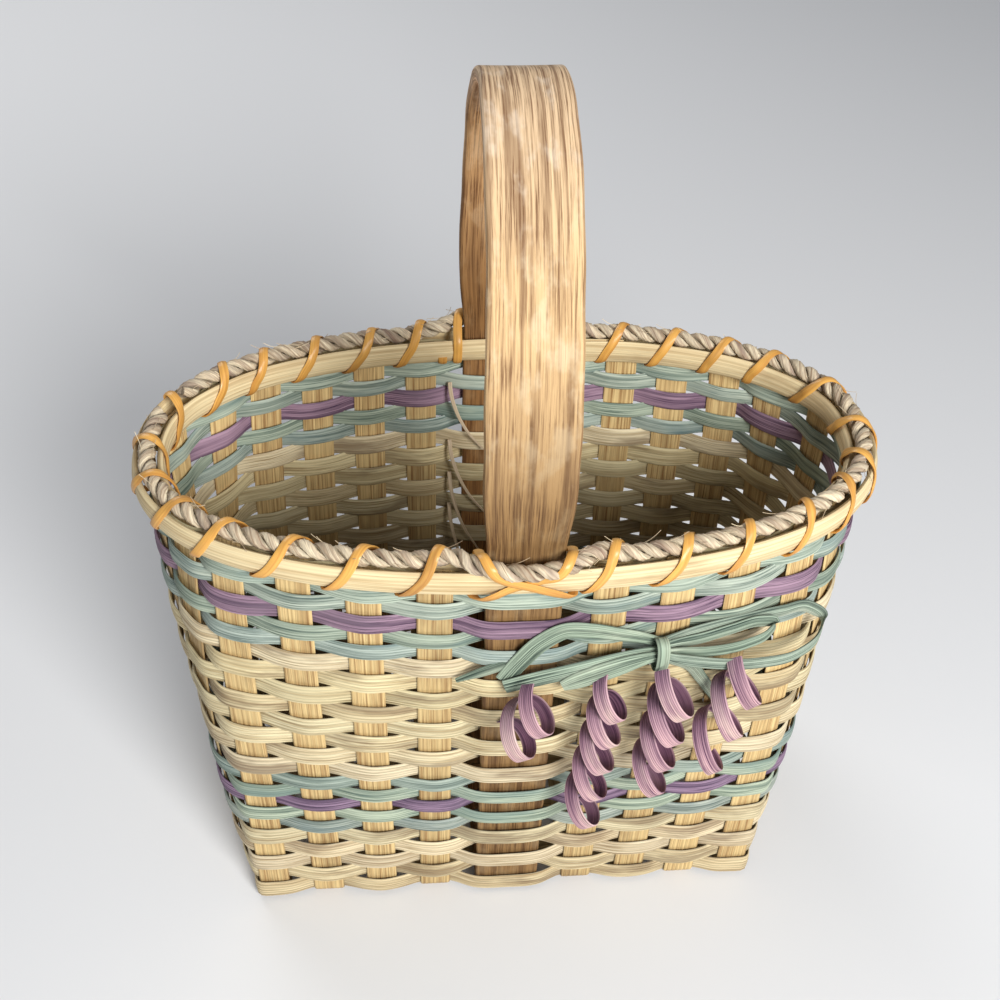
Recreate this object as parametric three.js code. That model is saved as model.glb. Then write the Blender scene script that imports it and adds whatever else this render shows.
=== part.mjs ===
// Splint basket with a bent wooden handle.
// A plain-woven base of flat reed carries 28 uprights: 26 reed stakes and the two legs of the handle.
// 24 start-stop rows of reed weave round them, and a rim of two reeds with seagrass between them is
// lashed over the last row. A bow and four curls of dyed reed are tied to the front.
// Millimetres, +Z up. The long side runs along X and the front faces -Y.
// The origin is on the ground under the middle of the base.
import * as THREE from 'three';

// Clearances between pieces that touch
const CLEARANCE = 0.3;
const ROW_GAP = 0.4;
const END_GAP = 0.6;

// Outline of the wall, measured on the middle of its thickness
const BASE_LENGTH = 270;
const BASE_DEPTH = 152;
const RIM_LENGTH = 331;
const RIM_DEPTH = 164;
const RIM_SQUARENESS = 2.25;
const END_BULGE = 8.5;
const FRONT_BULGE = 1.5;
const WALL_LEVELS = 6;
const TWIST_PER_STEP = 2.5;

// Flat reed stakes
const STAKE_WIDTH = 15.9;
const STAKE_THICKNESS = 1.2;
const STAKES_BESIDE_LEG = 4;
const LEG_TO_STAKE = 38.5;
const PITCH_AT_BASE = 28.7;
const FRONT_PITCH_AT_RIM = 31.2;
const BACK_PITCH_AT_RIM = 26.5;
const END_STAKES = 5;
const END_PITCH_AT_BASE = 28;
const FRONT_END_PITCH_AT_RIM = 23.6;
const BACK_END_PITCH_AT_RIM = 31;

// Weaving rows, named from the ground up
const WEAVER_THICKNESS = 1.7;
const NATURAL_PITCH = 11.4;
const DYED_PITCH = 9;
const WIDE_DYED_PITCH = 10.6;
const ROW_BANDS = [
  { rows: 5, dye: 'natural', pitch: NATURAL_PITCH },
  { rows: 2, dye: 'green', pitch: DYED_PITCH },
  { rows: 1, dye: 'purple', pitch: DYED_PITCH },
  { rows: 2, dye: 'green', pitch: DYED_PITCH },
  { rows: 8, dye: 'natural', pitch: NATURAL_PITCH },
  { rows: 2, dye: 'green', pitch: DYED_PITCH },
  { rows: 1, dye: 'purple', pitch: WIDE_DYED_PITCH },
  { rows: 2, dye: 'green', pitch: DYED_PITCH },
];

// Rim
const RIM_HEIGHT = 12.7;
const RIM_THICKNESS = 3.8;
const SEAGRASS_DIAMETER = 7.4;
const SEAGRASS_SIDES = 6;
const SEAGRASS_SLACK = 0.2;
const CANE_WIDTH = 4.4;
const CANE_THICKNESS = 0.9;
const LASHING_SLOT = 2.2;
const LASHING_SLACK = 0.9;
const CROSS_LAYER_GAP = 0.5;
const CROSS_TURN = 4;
const LAST_SLOT_GAP = 3;

// Handle
const LEG_WIDTH = 33.5;
const LEG_THICKNESS = 5;
const NOTCH_THICKNESS = 3;
const NOTCH_FADE = 14;
const GRIP_WIDTH = 38.5;
const APEX_WIDTH = 36;
const GRIP_THICKNESS = 6.5;
const HANDLE_RISE = 175;
const STRAIGHT_RISE = 40;
const HANDLE_CHAMFER = 1;
const ARCH_STEPS = 20;

// Dyed ornament. Its heights and places across are those of the front wall, and the bow's are counted
// from the middle of the knot.
const RIBBON_THICKNESS = 0.9;
const RIBBON_WIDTH = 7.5;
const LEAF_WIDTH = 10;
const TAIL_WIDTH = 6;
const KNOT_WIDTH = 6.5;
const KNOT_HEIGHT = 19;
const KNOT_DEPTH = 10;
const KNOT_X = 62;
const KNOT_Z = 200.5;
const CURL_WIDTH = 8;
const CURL_STEPS = 8;
const CURL_TILT = 52;
const CURL_TURN = 18;
// Turns are counted from where a turn lies against the wall at the height given. Size is the diameter of
// a turn, out is how far the turns stand off the weave, and two values run from the top to the end.
const CURLS = [
  {
    name: 'curl_1', x: 11, z: 190, lean: -24, out: 0,
    turns: [0.25, 2.125], pitch: [19, 19], size: [25, 25],
  },
  {
    name: 'curl_2', x: 41, z: 187, lean: -5, out: 0,
    turns: [0.375, 5], pitch: [16, 23.5], size: [20, 24],
  },
  {
    name: 'curl_3', x: 69, z: 193, lean: -4, out: 0,
    turns: [0.375, 4], pitch: [19, 22], size: [27, 23],
  },
  {
    name: 'curl_4', x: 102, z: 194, lean: -12, out: 0.3,
    turns: [0.375, 2.875], pitch: [20, 27], size: [27, 25],
  },
];

// Loose reed ends inside the back wall
const LOOSE_END_WIDTH = 2.4;
const LOOSE_END_THICKNESS = 0.8;
const LOOSE_ENDS = [
  { row: 22, drop: 42, reach: 15 },
  { row: 18, drop: 50, reach: 17 },
  { row: 16, drop: 55, reach: 14 },
  { row: 14, drop: 44, reach: 8 },
];

// Heights that follow from the sizes above
const baseStakeZ = 1.5 * STAKE_THICKNESS + CLEARANCE;
const underZ = STAKE_THICKNESS / 2;
const overZ = baseStakeZ + STAKE_THICKNESS + CLEARANCE;
const firstRowZ = baseStakeZ + STAKE_THICKNESS / 2 + CLEARANCE;
const rows = listRows();
const rimBottom = rows[rows.length - 1].top + LASHING_SLOT;
const rimTop = rimBottom + RIM_HEIGHT;
const stakeTop = rimTop - SEAGRASS_DIAMETER / 2 - CLEARANCE - SEAGRASS_SLACK;
const weaveReach = STAKE_THICKNESS / 2 + CLEARANCE + WEAVER_THICKNESS;
const notchReach = NOTCH_THICKNESS / 2 + CLEARANCE + WEAVER_THICKNESS;
const legReach = LEG_THICKNESS / 2 + CLEARANCE + WEAVER_THICKNESS;
const rimOffset = Math.max(notchReach, weaveReach, SEAGRASS_DIAMETER / 2) + CLEARANCE;
const rimReach = rimOffset + RIM_THICKNESS;
const seagrassLift = SEAGRASS_DIAMETER / 2 + CLEARANCE + SEAGRASS_SLACK;
const uprightCount = 4 * STAKES_BESIDE_LEG + 2 * END_STAKES + 2;
const quarterUprights = uprightCount / 4;

const up = new THREE.Vector3(0, 0, 1);
const basket = new THREE.Group();

function listRows() {
  const list = [];
  let bottom = firstRowZ;
  for (const band of ROW_BANDS) {
    for (let i = 0; i < band.rows; i++) {
      const top = bottom + band.pitch;
      list.push({ number: list.length + 1, dye: band.dye, bottom, top });
      bottom = top;
    }
  }
  return list;
}

function mix(a, b, t) {
  return a + (b - a) * t;
}

// Smooth step from 0 to 1 between two places.
function fade(from, to, value) {
  const t = Math.min(1, Math.max(0, (value - from) / (to - from)));
  return t * t * (3 - 2 * t);
}

// Point on the first quarter of the rim oval, at a distance round it from the middle of the front.
function buildRimQuarter() {
  const steps = 400;
  const points = [];
  let travelled = 0;
  for (let i = 0; i <= steps; i++) {
    const angle = (i / steps) * Math.PI / 2;
    const x = RIM_LENGTH / 2 * Math.sin(angle) ** (2 / RIM_SQUARENESS);
    const y = -RIM_DEPTH / 2 * Math.cos(angle) ** (2 / RIM_SQUARENESS);
    if (i > 0) travelled += Math.hypot(x - points[i - 1].x, y - points[i - 1].y);
    points.push({ x, y, travelled });
  }
  return points;
}
const rimQuarter = buildRimQuarter();
const quarterLength = rimQuarter[rimQuarter.length - 1].travelled;

function rimPlace(distance) {
  let i = 1;
  while (i < rimQuarter.length - 1 && rimQuarter[i].travelled < distance) i++;
  const a = rimQuarter[i - 1];
  const b = rimQuarter[i];
  const t = (distance - a.travelled) / (b.travelled - a.travelled);
  const along = new THREE.Vector3(b.x - a.x, b.y - a.y, 0).normalize();
  if (distance < 1) along.set(1, 0, 0);
  if (distance > quarterLength - 1) along.set(0, 1, 0);
  return { centre: new THREE.Vector3(mix(a.x, b.x, t), mix(a.y, b.y, t), 0), along };
}

// Upright number 0 is the front leg of the handle. The numbers run round the basket anticlockwise
// as seen from above: front stakes, end stakes, back stakes, back leg and home again.
function quarterUpright(index, atBack) {
  const endIndex = quarterUprights - index;
  const base = { centre: new THREE.Vector3(0, -BASE_DEPTH / 2, 0), along: new THREE.Vector3(1, 0, 0) };
  let distance = 0;
  if (index > STAKES_BESIDE_LEG) {
    base.centre.set(BASE_LENGTH / 2, -endIndex * END_PITCH_AT_BASE, 0);
    base.along.set(0, 1, 0);
    distance = quarterLength - endIndex * (atBack ? BACK_END_PITCH_AT_RIM : FRONT_END_PITCH_AT_RIM);
  } else if (index > 0) {
    base.centre.x = LEG_TO_STAKE + (index - 1) * PITCH_AT_BASE;
    distance = LEG_TO_STAKE + (index - 1) * (atBack ? BACK_PITCH_AT_RIM : FRONT_PITCH_AT_RIM);
  }
  return { base, rim: rimPlace(distance) };
}

function mirrored(place, flipX, flipY) {
  const centre = place.centre.clone();
  const along = place.along.clone();
  if (flipX) centre.x = -centre.x;
  if (flipY) centre.y = -centre.y;
  if (flipX) along.y = -along.y;
  if (flipY) along.x = -along.x;
  return { centre, along };
}

function uprightEnds(number) {
  const n = ((number % uprightCount) + uprightCount) % uprightCount;
  const half = uprightCount / 2;
  if (n <= quarterUprights) return quarterUpright(n, false);
  if (n <= half) {
    const q = quarterUpright(half - n, true);
    return { base: mirrored(q.base, false, true), rim: mirrored(q.rim, false, true) };
  }
  if (n <= half + quarterUprights) {
    const q = quarterUpright(n - half, true);
    return { base: mirrored(q.base, true, true), rim: mirrored(q.rim, true, true) };
  }
  const q = quarterUpright(uprightCount - n, false);
  return { base: mirrored(q.base, true, false), rim: mirrored(q.rim, true, false) };
}

// Frame of an upright at one of the wall's levels: its middle, the way along the wall and the way out.
function levelFrame(number, level) {
  const ends = uprightEnds(number);
  const t = level / WALL_LEVELS;
  const along = ends.base.along.clone().lerp(ends.rim.along, t).normalize();
  const out = new THREE.Vector3(along.y, -along.x, 0);
  const centre = ends.base.centre.clone().lerp(ends.rim.centre, t);
  const bulge = 4 * t * (1 - t);
  centre.x += out.x * END_BULGE * bulge;
  centre.y += out.y * FRONT_BULGE * bulge;
  centre.z = t * rimTop;
  return { centre, along, out };
}

// Frame of an upright at any height. The wall is straight between two levels.
function wallFrame(number, z) {
  const at = Math.min(WALL_LEVELS, Math.max(0, (z / rimTop) * WALL_LEVELS));
  const level = Math.min(WALL_LEVELS - 1, Math.floor(at));
  const a = levelFrame(number, level);
  const b = levelFrame(number, level + 1);
  const t = at - level;
  a.centre.lerp(b.centre, t);
  a.along.lerp(b.along, t);
  a.out.lerp(b.out, t);
  a.centre.z = z;
  return a;
}

function isLeg(number) {
  return number % (uprightCount / 2) === 0;
}

// The leg is thinned where the rim clamps it, and swells to the grip above.
function legThickness(z) {
  const knots = legKnots();
  let i = 1;
  while (i < knots.length - 1 && knots[i].z < z) i++;
  const t = Math.min(1, Math.max(0, (z - knots[i - 1].z) / (knots[i].z - knots[i - 1].z)));
  return mix(knots[i - 1].thickness, knots[i].thickness, t);
}

function legKnots() {
  const lastRow = rows[rows.length - 1];
  const notchEnd = rimTop + seagrassLift + SEAGRASS_DIAMETER / 2 + 1;
  return [
    { z: lastRow.bottom, thickness: LEG_THICKNESS },
    { z: lastRow.top, thickness: NOTCH_THICKNESS },
    { z: notchEnd, thickness: NOTCH_THICKNESS },
    { z: notchEnd + NOTCH_FADE, thickness: GRIP_THICKNESS },
  ];
}

// How far from the middle of an upright a weaver bends round its edge.
function edgeShift(number) {
  return (isLeg(number) ? LEG_WIDTH : STAKE_WIDTH) / 2 + CLEARANCE;
}

// Point near an upright: shift runs along the wall, offset is the way out from the wall's middle.
function wallPoint(number, shift, offset, z) {
  const frame = wallFrame(number, Math.min(z, rimTop));
  const point = frame.centre.clone().addScaledVector(frame.along, shift);
  point.addScaledVector(frame.out, offset);
  point.z = z;
  return point;
}

// Point on the rim at any place round it. Whole numbers are uprights and halves are gaps.
function rimPoint(place, offset, z) {
  const edge = 0.3;
  const number = Math.round(place);
  const off = place - number;
  if (Math.abs(off) <= edge) return wallPoint(number, off / edge * edgeShift(number), offset, z);
  const side = Math.sign(off);
  const t = (Math.abs(off) - edge) / (1 - 2 * edge);
  const near = wallPoint(number, side * edgeShift(number), offset, z);
  return near.lerp(wallPoint(number + side, -side * edgeShift(number + side), offset, z), t);
}

// Closed body through a run of sections with the same number of corners. Each side face is split along
// its shorter diagonal, so that a twisted strip doesn't bulge.
function bodyThrough(sections) {
  const sides = sections[0].length;
  const points = sections.flat();
  const positions = points.flatMap((p) => [p.x, p.y, p.z]);
  const faces = [];
  for (let i = 0; i + 1 < sections.length; i++) {
    for (let j = 0; j < sides; j++) {
      const a = i * sides + j;
      const b = i * sides + (j + 1) % sides;
      if (points[a].distanceTo(points[b + sides]) < points[b].distanceTo(points[a + sides])) {
        faces.push(a, b, b + sides, a, b + sides, a + sides);
      } else {
        faces.push(a, b, a + sides, b, b + sides, a + sides);
      }
    }
  }
  const last = (sections.length - 1) * sides;
  for (let j = 1; j + 1 < sides; j++) {
    faces.push(0, j + 1, j, last, last + j, last + j + 1);
  }
  if (signedVolume(positions, faces) < 0) faces.reverse();
  const geometry = new THREE.BufferGeometry();
  geometry.setAttribute('position', new THREE.Float32BufferAttribute(positions, 3));
  geometry.setIndex(faces);
  geometry.computeVertexNormals();
  return geometry;
}

function signedVolume(positions, faces) {
  const corner = (i) => new THREE.Vector3().fromArray(positions, 3 * i);
  let volume = 0;
  for (let i = 0; i < faces.length; i += 3) {
    volume += corner(faces[i]).dot(corner(faces[i + 1]).cross(corner(faces[i + 2])));
  }
  return volume / 6;
}

function stripSection(centre, halfWidth, halfThickness) {
  return [
    centre.clone().sub(halfWidth).sub(halfThickness),
    centre.clone().add(halfWidth).sub(halfThickness),
    centre.clone().add(halfWidth).add(halfThickness),
    centre.clone().sub(halfWidth).add(halfThickness),
  ];
}

function addPiece(name, geometry, material) {
  const mesh = new THREE.Mesh(geometry, material);
  mesh.name = name;
  basket.add(mesh);
}

function reed(colour, roughness) {
  return new THREE.MeshStandardMaterial({ color: colour, roughness, metalness: 0 });
}
const materials = {
  stake: reed(0xd6b46e, 0.8),
  natural: reed(0xdec896, 0.8),
  green: reed(0x96ab98, 0.8),
  purple: reed(0x785c80, 0.8),
  rim: reed(0xe0c88c, 0.75),
  seagrass: reed(0xb4a28a, 0.9),
  cane: reed(0xdd9c3c, 0.45),
  handle: reed(0xb98a58, 0.55),
  ribbon: reed(0x7d9482, 0.8),
  curl: reed(0xa888a0, 0.8),
};

// Stakes
// Each one is a single strip: up one wall, across the base and up the other wall.
// The crosswise stakes lie straight in the base, and the lengthwise ones go over and under them.
function wallSections(number, foldZ) {
  const ends = uprightEnds(number);
  const twist = THREE.MathUtils.radToDeg(ends.base.along.angleTo(ends.rim.along));
  const steps = WALL_LEVELS * Math.max(1, Math.ceil(twist / WALL_LEVELS / TWIST_PER_STEP));
  const sections = [];
  for (let i = steps; i > 0; i--) {
    const z = Math.min(i / steps * rimTop, stakeTop);
    if (z < foldZ + 2 * STAKE_THICKNESS) continue;
    const frame = wallFrame(number, z);
    const width = frame.along.clone().multiplyScalar(STAKE_WIDTH / 2);
    const thick = frame.out.clone().multiplyScalar(STAKE_THICKNESS / 2);
    sections.push(stripSection(frame.centre, width, thick));
  }
  const fold = wallFrame(number, foldZ);
  const width = fold.along.clone().multiplyScalar(STAKE_WIDTH / 2);
  const thick = fold.out.clone().sub(up).multiplyScalar(STAKE_THICKNESS / 2);
  sections.push(stripSection(fold.centre, width, thick));
  return sections;
}

function flipped(section) {
  return [section[1], section[0], section[3], section[2]];
}

function stakeBody(first, second, foldZ, baseSections) {
  const down = wallSections(first, foldZ);
  const rise = wallSections(second, foldZ).reverse().map(flipped);
  return bodyThrough([...down, ...baseSections, ...rise]);
}

function buildCrosswiseStakes() {
  const half = uprightCount / 2;
  const numbers = [];
  for (let i = STAKES_BESIDE_LEG; i > 0; i--) numbers.push(-i);
  for (let i = 1; i <= STAKES_BESIDE_LEG; i++) numbers.push(i);
  numbers.forEach((number, i) => {
    const body = stakeBody(number, half - number, baseStakeZ, []);
    addPiece(`crosswise_stake_${i + 1}`, body, materials.stake);
  });
}

// Places along X where something lies across the base, from the left end to the right.
function baseCrossings() {
  const crossings = [{ index: 0, x: 0, half: LEG_WIDTH / 2 }];
  for (let i = 1; i <= STAKES_BESIDE_LEG; i++) {
    const x = LEG_TO_STAKE + (i - 1) * PITCH_AT_BASE;
    crossings.push({ index: i, x, half: STAKE_WIDTH / 2 });
    crossings.push({ index: i, x: -x, half: STAKE_WIDTH / 2 });
  }
  return crossings.sort((a, b) => a.x - b.x);
}

function buildLengthwiseStakes() {
  const middle = (END_STAKES - 1) / 2;
  const width = new THREE.Vector3(0, -STAKE_WIDTH / 2, 0);
  const thick = new THREE.Vector3(0, 0, -STAKE_THICKNESS / 2);
  for (let i = 0; i < END_STAKES; i++) {
    const row = i - middle;
    const y = row * END_PITCH_AT_BASE;
    const odd = Math.abs(row) % 2;
    const inBase = [];
    for (const crossing of baseCrossings()) {
      const over = crossing.index > 0 && (crossing.index + odd) % 2 === 1;
      const z = over ? overZ : underZ;
      for (const side of [-1, 1]) {
        const x = crossing.x + side * (crossing.half + CLEARANCE);
        inBase.push(stripSection(new THREE.Vector3(x, y, z), width, thick));
      }
    }
    const right = quarterUprights + row;
    const left = uprightCount - right;
    const foldZ = odd ? overZ : underZ;
    addPiece(`lengthwise_stake_${i + 1}`, stakeBody(left, right, foldZ, inBase), materials.stake);
  }
}

// Handle
// One bent strip: it runs across the base, up the front inside the weave, over as an arch, down the
// back and across the base to meet its other end. Its legs are thinned where the rim clamps them.
function handleSection(centre, halfWidth, halfThickness, thickness) {
  const chamfer = HANDLE_CHAMFER / (thickness / 2);
  const inset = halfWidth - HANDLE_CHAMFER;
  const corners = [
    [-inset, -1], [inset, -1], [halfWidth, chamfer - 1], [halfWidth, 1 - chamfer],
    [inset, 1], [-inset, 1], [-halfWidth, 1 - chamfer], [-halfWidth, chamfer - 1],
  ];
  return corners.map(([x, t]) => {
    const point = centre.clone().addScaledVector(halfThickness, t);
    point.x += x;
    return point;
  });
}

function legSections(number, baseZ) {
  const sections = [];
  const frame = wallFrame(number, baseZ);
  const downAndOut = levelFrame(number, 0).out.sub(up).multiplyScalar(LEG_THICKNESS / 2);
  const inner = new THREE.Vector3(0, Math.sign(frame.out.y) * END_GAP / 2, baseZ);
  const down = up.clone().multiplyScalar(-LEG_THICKNESS / 2);
  sections.push(handleSection(inner, LEG_WIDTH / 2, down, LEG_THICKNESS));
  sections.push(handleSection(frame.centre, LEG_WIDTH / 2, downAndOut, LEG_THICKNESS));
  const heights = legKnots().map((knot) => knot.z);
  for (let level = 1; level <= WALL_LEVELS; level++) heights.push(level / WALL_LEVELS * rimTop);
  heights.push(rimTop + STRAIGHT_RISE);
  heights.sort((a, b) => a - b);
  for (const z of heights) {
    const thickness = legThickness(z);
    const centre = wallPoint(number, 0, 0, z);
    const raised = fade(rimTop, rimTop + STRAIGHT_RISE, z);
    const thick = frame.out.clone().multiplyScalar(thickness / 2);
    sections.push(handleSection(centre, mix(LEG_WIDTH, GRIP_WIDTH, raised) / 2, thick, thickness));
  }
  return sections;
}

function buildHandle() {
  const baseZ = STAKE_THICKNESS + CLEARANCE + LEG_THICKNESS / 2;
  const front = legSections(0, baseZ);
  const back = legSections(uprightCount / 2, baseZ).reverse();
  const arch = [];
  const depth = RIM_DEPTH / 2;
  const rise = HANDLE_RISE - STRAIGHT_RISE;
  for (let i = 1; i < ARCH_STEPS; i++) {
    const angle = i / ARCH_STEPS * Math.PI;
    const y = -depth * Math.cos(angle);
    const z = rimTop + STRAIGHT_RISE + rise * Math.sin(angle);
    const out = new THREE.Vector3(0, -Math.cos(angle) / depth, Math.sin(angle) / rise).normalize();
    const width = mix(GRIP_WIDTH, APEX_WIDTH, Math.sin(angle) ** 2);
    const thick = out.multiplyScalar(GRIP_THICKNESS / 2);
    arch.push(handleSection(new THREE.Vector3(0, y, z), width / 2, thick, GRIP_THICKNESS));
  }
  addPiece('handle', bodyThrough([...front, ...arch, ...back]), materials.handle);
}

// Weaving rows
// Each row is a strip of its own. Odd rows pass outside the even uprights, which include the legs, and
// even rows pass inside them. The two ends meet behind an upright at the front or the right end.
function rowSection(row, number, shift) {
  const outside = (row.number + number) % 2 !== 0;
  const low = row.bottom + ROW_GAP / 2;
  const high = row.top - ROW_GAP / 2;
  const corner = (z, across) => {
    const thickness = isLeg(number) ? legThickness(z) : STAKE_THICKNESS;
    const reach = thickness / 2 + CLEARANCE + WEAVER_THICKNESS / 2;
    const offset = (outside ? reach : -reach) + across * WEAVER_THICKNESS / 2;
    return wallPoint(number, shift, offset, z);
  };
  return [corner(low, -1), corner(low, 1), corner(high, 1), corner(high, -1)];
}

function buildRow(row, name, material) {
  const oddSeam = 1 + 2 * (row.number % 3);
  const seam = row.number % 2 === 0 ? oddSeam + 1 : oddSeam;
  const sections = [rowSection(row, seam, END_GAP / 2), rowSection(row, seam, edgeShift(seam))];
  for (let number = seam + 1; number < seam + uprightCount; number++) {
    sections.push(rowSection(row, number, -edgeShift(number)));
    sections.push(rowSection(row, number, edgeShift(number)));
  }
  sections.push(rowSection(row, seam, -edgeShift(seam)), rowSection(row, seam, -END_GAP / 2));
  addPiece(name, bodyThrough(sections), material);
}

function buildRows() {
  for (const row of rows) {
    const number = String(row.number).padStart(2, '0');
    buildRow(row, `weaver_${number}_${row.dye}`, materials[row.dye]);
  }
  const hidden = { number: rows.length + 1, bottom: rimBottom, top: stakeTop };
  buildRow(hidden, `weaver_${hidden.number}_under_rim`, materials.natural);
}

// Rim reeds
// A flat-oval reed outside the wall and one inside it. The ends of each are cut on a slant and overlap.
function rimSection(side, number, shift) {
  const middle = (rimBottom + rimTop) / 2;
  const shoulder = rimOffset + 0.75 * RIM_THICKNESS;
  const corners = [
    [rimOffset, rimBottom], [rimOffset, rimTop], [shoulder, rimTop], [rimReach, middle],
    [shoulder, rimBottom],
  ];
  return corners.map(([offset, z]) => wallPoint(number, shift, side * offset, z));
}

function scarfSection(side, number, gapShare) {
  const a = rimSection(side, number, edgeShift(number));
  const b = rimSection(side, number + 1, -edgeShift(number + 1));
  const across = [0, 0, 0.75, 1, 0.75];
  return a.map((point, i) => point.lerp(b[i], mix(0.2, 0.8, across[i]) + gapShare));
}

function buildRimReed(name, side, scarfAfter) {
  const first = wallPoint(scarfAfter, edgeShift(scarfAfter), 0, rimTop);
  const next = wallPoint(scarfAfter + 1, -edgeShift(scarfAfter + 1), 0, rimTop);
  const gapShare = CLEARANCE / first.distanceTo(next);
  const sections = [scarfSection(side, scarfAfter, gapShare)];
  for (let number = scarfAfter + 1; number <= scarfAfter + uprightCount; number++) {
    sections.push(rimSection(side, number, -edgeShift(number)));
    sections.push(rimSection(side, number, edgeShift(number)));
  }
  sections.push(scarfSection(side, scarfAfter, -gapShare));
  addPiece(name, bodyThrough(sections), materials.rim);
}

// Seagrass filler
// It lies between the rim reeds, and rises to pass outside each leg of the handle.
function seagrassSection(number, shift) {
  const besideLeg = isLeg(number - 1) && shift < 0 || isLeg(number + 1) && shift > 0;
  const radius = SEAGRASS_DIAMETER / 2;
  const offset = isLeg(number) ? NOTCH_THICKNESS / 2 + CLEARANCE + radius : 0;
  const lift = isLeg(number) || besideLeg ? seagrassLift : 0;
  const section = [];
  for (let i = 0; i < SEAGRASS_SIDES; i++) {
    const angle = 2 * Math.PI * i / SEAGRASS_SIDES;
    const out = offset + radius * Math.cos(angle);
    section.push(wallPoint(number, shift, out, rimTop + lift + radius * Math.sin(angle)));
  }
  return section;
}

function buildSeagrass(seam) {
  const sections = [];
  for (let number = seam; number < seam + uprightCount; number++) {
    const legShift = LEG_WIDTH / 2 + SEAGRASS_DIAMETER / 2 + CLEARANCE;
    const shift = isLeg(number) ? legShift : edgeShift(number);
    sections.push(seagrassSection(number, -shift), seagrassSection(number, shift));
  }
  sections.push(seagrassSection(seam, -edgeShift(seam) - END_GAP));
  addPiece('seagrass_filler', bodyThrough(sections), materials.seagrass);
}

// Lashing
// Each cane starts with a cross over one leg of the handle and winds round half of the rim. It goes
// under the rim through the wall between two uprights, and over the top of the next upright.
const caneReach = rimReach + LASHING_SLACK + CANE_THICKNESS / 2;
const caneLow = rimBottom - CLEARANCE - CANE_THICKNESS / 2;
const crownHalf = 0.4 * SEAGRASS_DIAMETER;
const crownTop = rimTop + seagrassLift + CANE_THICKNESS / 2;
const shoulderTop = rimTop + CANE_THICKNESS / 2;
const wrapProfile = [
  [-caneReach, caneLow], [-caneReach, shoulderTop], [-crownHalf, crownTop],
  [crownHalf, crownTop], [caneReach, shoulderTop], [caneReach, caneLow],
];
// Beside a leg the seagrass stands higher and further out, so the wrap does too.
const raisedCrown = crownTop + seagrassLift;
const seagrassOut = NOTCH_THICKNESS / 2 + CLEARANCE + SEAGRASS_DIAMETER / 2;
const raisedProfile = [
  [-caneReach, caneLow], [-caneReach, shoulderTop], [-0.5 * crownHalf, raisedCrown],
  [seagrassOut + 0.7 * crownHalf, raisedCrown], [seagrassOut + crownTop - rimTop, rimTop + seagrassLift],
  [caneReach, caneLow],
];

// The next upright has the rising seagrass under its wrap.
const risingProfile = [
  [-caneReach, caneLow], [-caneReach, shoulderTop], [-crownHalf, raisedCrown],
  [crownHalf, raisedCrown], [caneReach, shoulderTop], [caneReach, caneLow],
];

// Half thickness of the cane at a corner of its profile, pointing away from the rim.
function profileNormal(profile, i, out) {
  const count = profile.length;
  const edgeNormal = (a, b) => {
    const length = Math.hypot(b[0] - a[0], b[1] - a[1]);
    return [-(b[1] - a[1]) / length, (b[0] - a[0]) / length];
  };
  const before = edgeNormal(profile[(i + count - 1) % count], profile[i]);
  const after = edgeNormal(profile[i], profile[(i + 1) % count]);
  const share = CANE_THICKNESS / 2 / (1 + before[0] * after[0] + before[1] * after[1]);
  const normal = out.clone().multiplyScalar((before[0] + after[0]) * share);
  normal.z = (before[1] + after[1]) * share;
  return normal;
}

function caneSection(profile, corner, place) {
  const [offset, z] = profile[corner];
  const centre = rimPoint(place, offset, z);
  const step = 0.05;
  const along = rimPoint(place + step, 0, rimTop).sub(rimPoint(place - step, 0, rimTop)).normalize();
  const out = new THREE.Vector3(along.y, -along.x, 0);
  const width = along.multiplyScalar(CANE_WIDTH / 2);
  return stripSection(centre, width, profileNormal(profile, corner, out));
}

function caneSectionAtLeg(profile, corner, leg, shift) {
  const [offset, z] = profile[corner];
  const frame = wallFrame(leg, rimTop);
  const width = frame.along.clone().multiplyScalar(CANE_WIDTH / 2);
  return stripSection(wallPoint(leg, shift, offset, z), width, profileNormal(profile, corner, frame.out));
}

// The slanting stretch over the outer rim, as two sections square to its run.
function crossingSections(leg, fromShift, toShift, layer) {
  const frame = wallFrame(leg, rimTop);
  const margin = 0.6 * CANE_WIDTH;
  const start = wallPoint(leg, fromShift, caneReach + layer, rimTop - margin);
  const end = wallPoint(leg, toShift, caneReach + layer, rimBottom + margin);
  const width = frame.out.clone().cross(end.clone().sub(start)).normalize().multiplyScalar(CANE_WIDTH / 2);
  const thick = frame.out.clone().multiplyScalar(CANE_THICKNESS / 2);
  return [stripSection(start, width, thick), stripSection(end, width, thick)];
}

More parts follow.
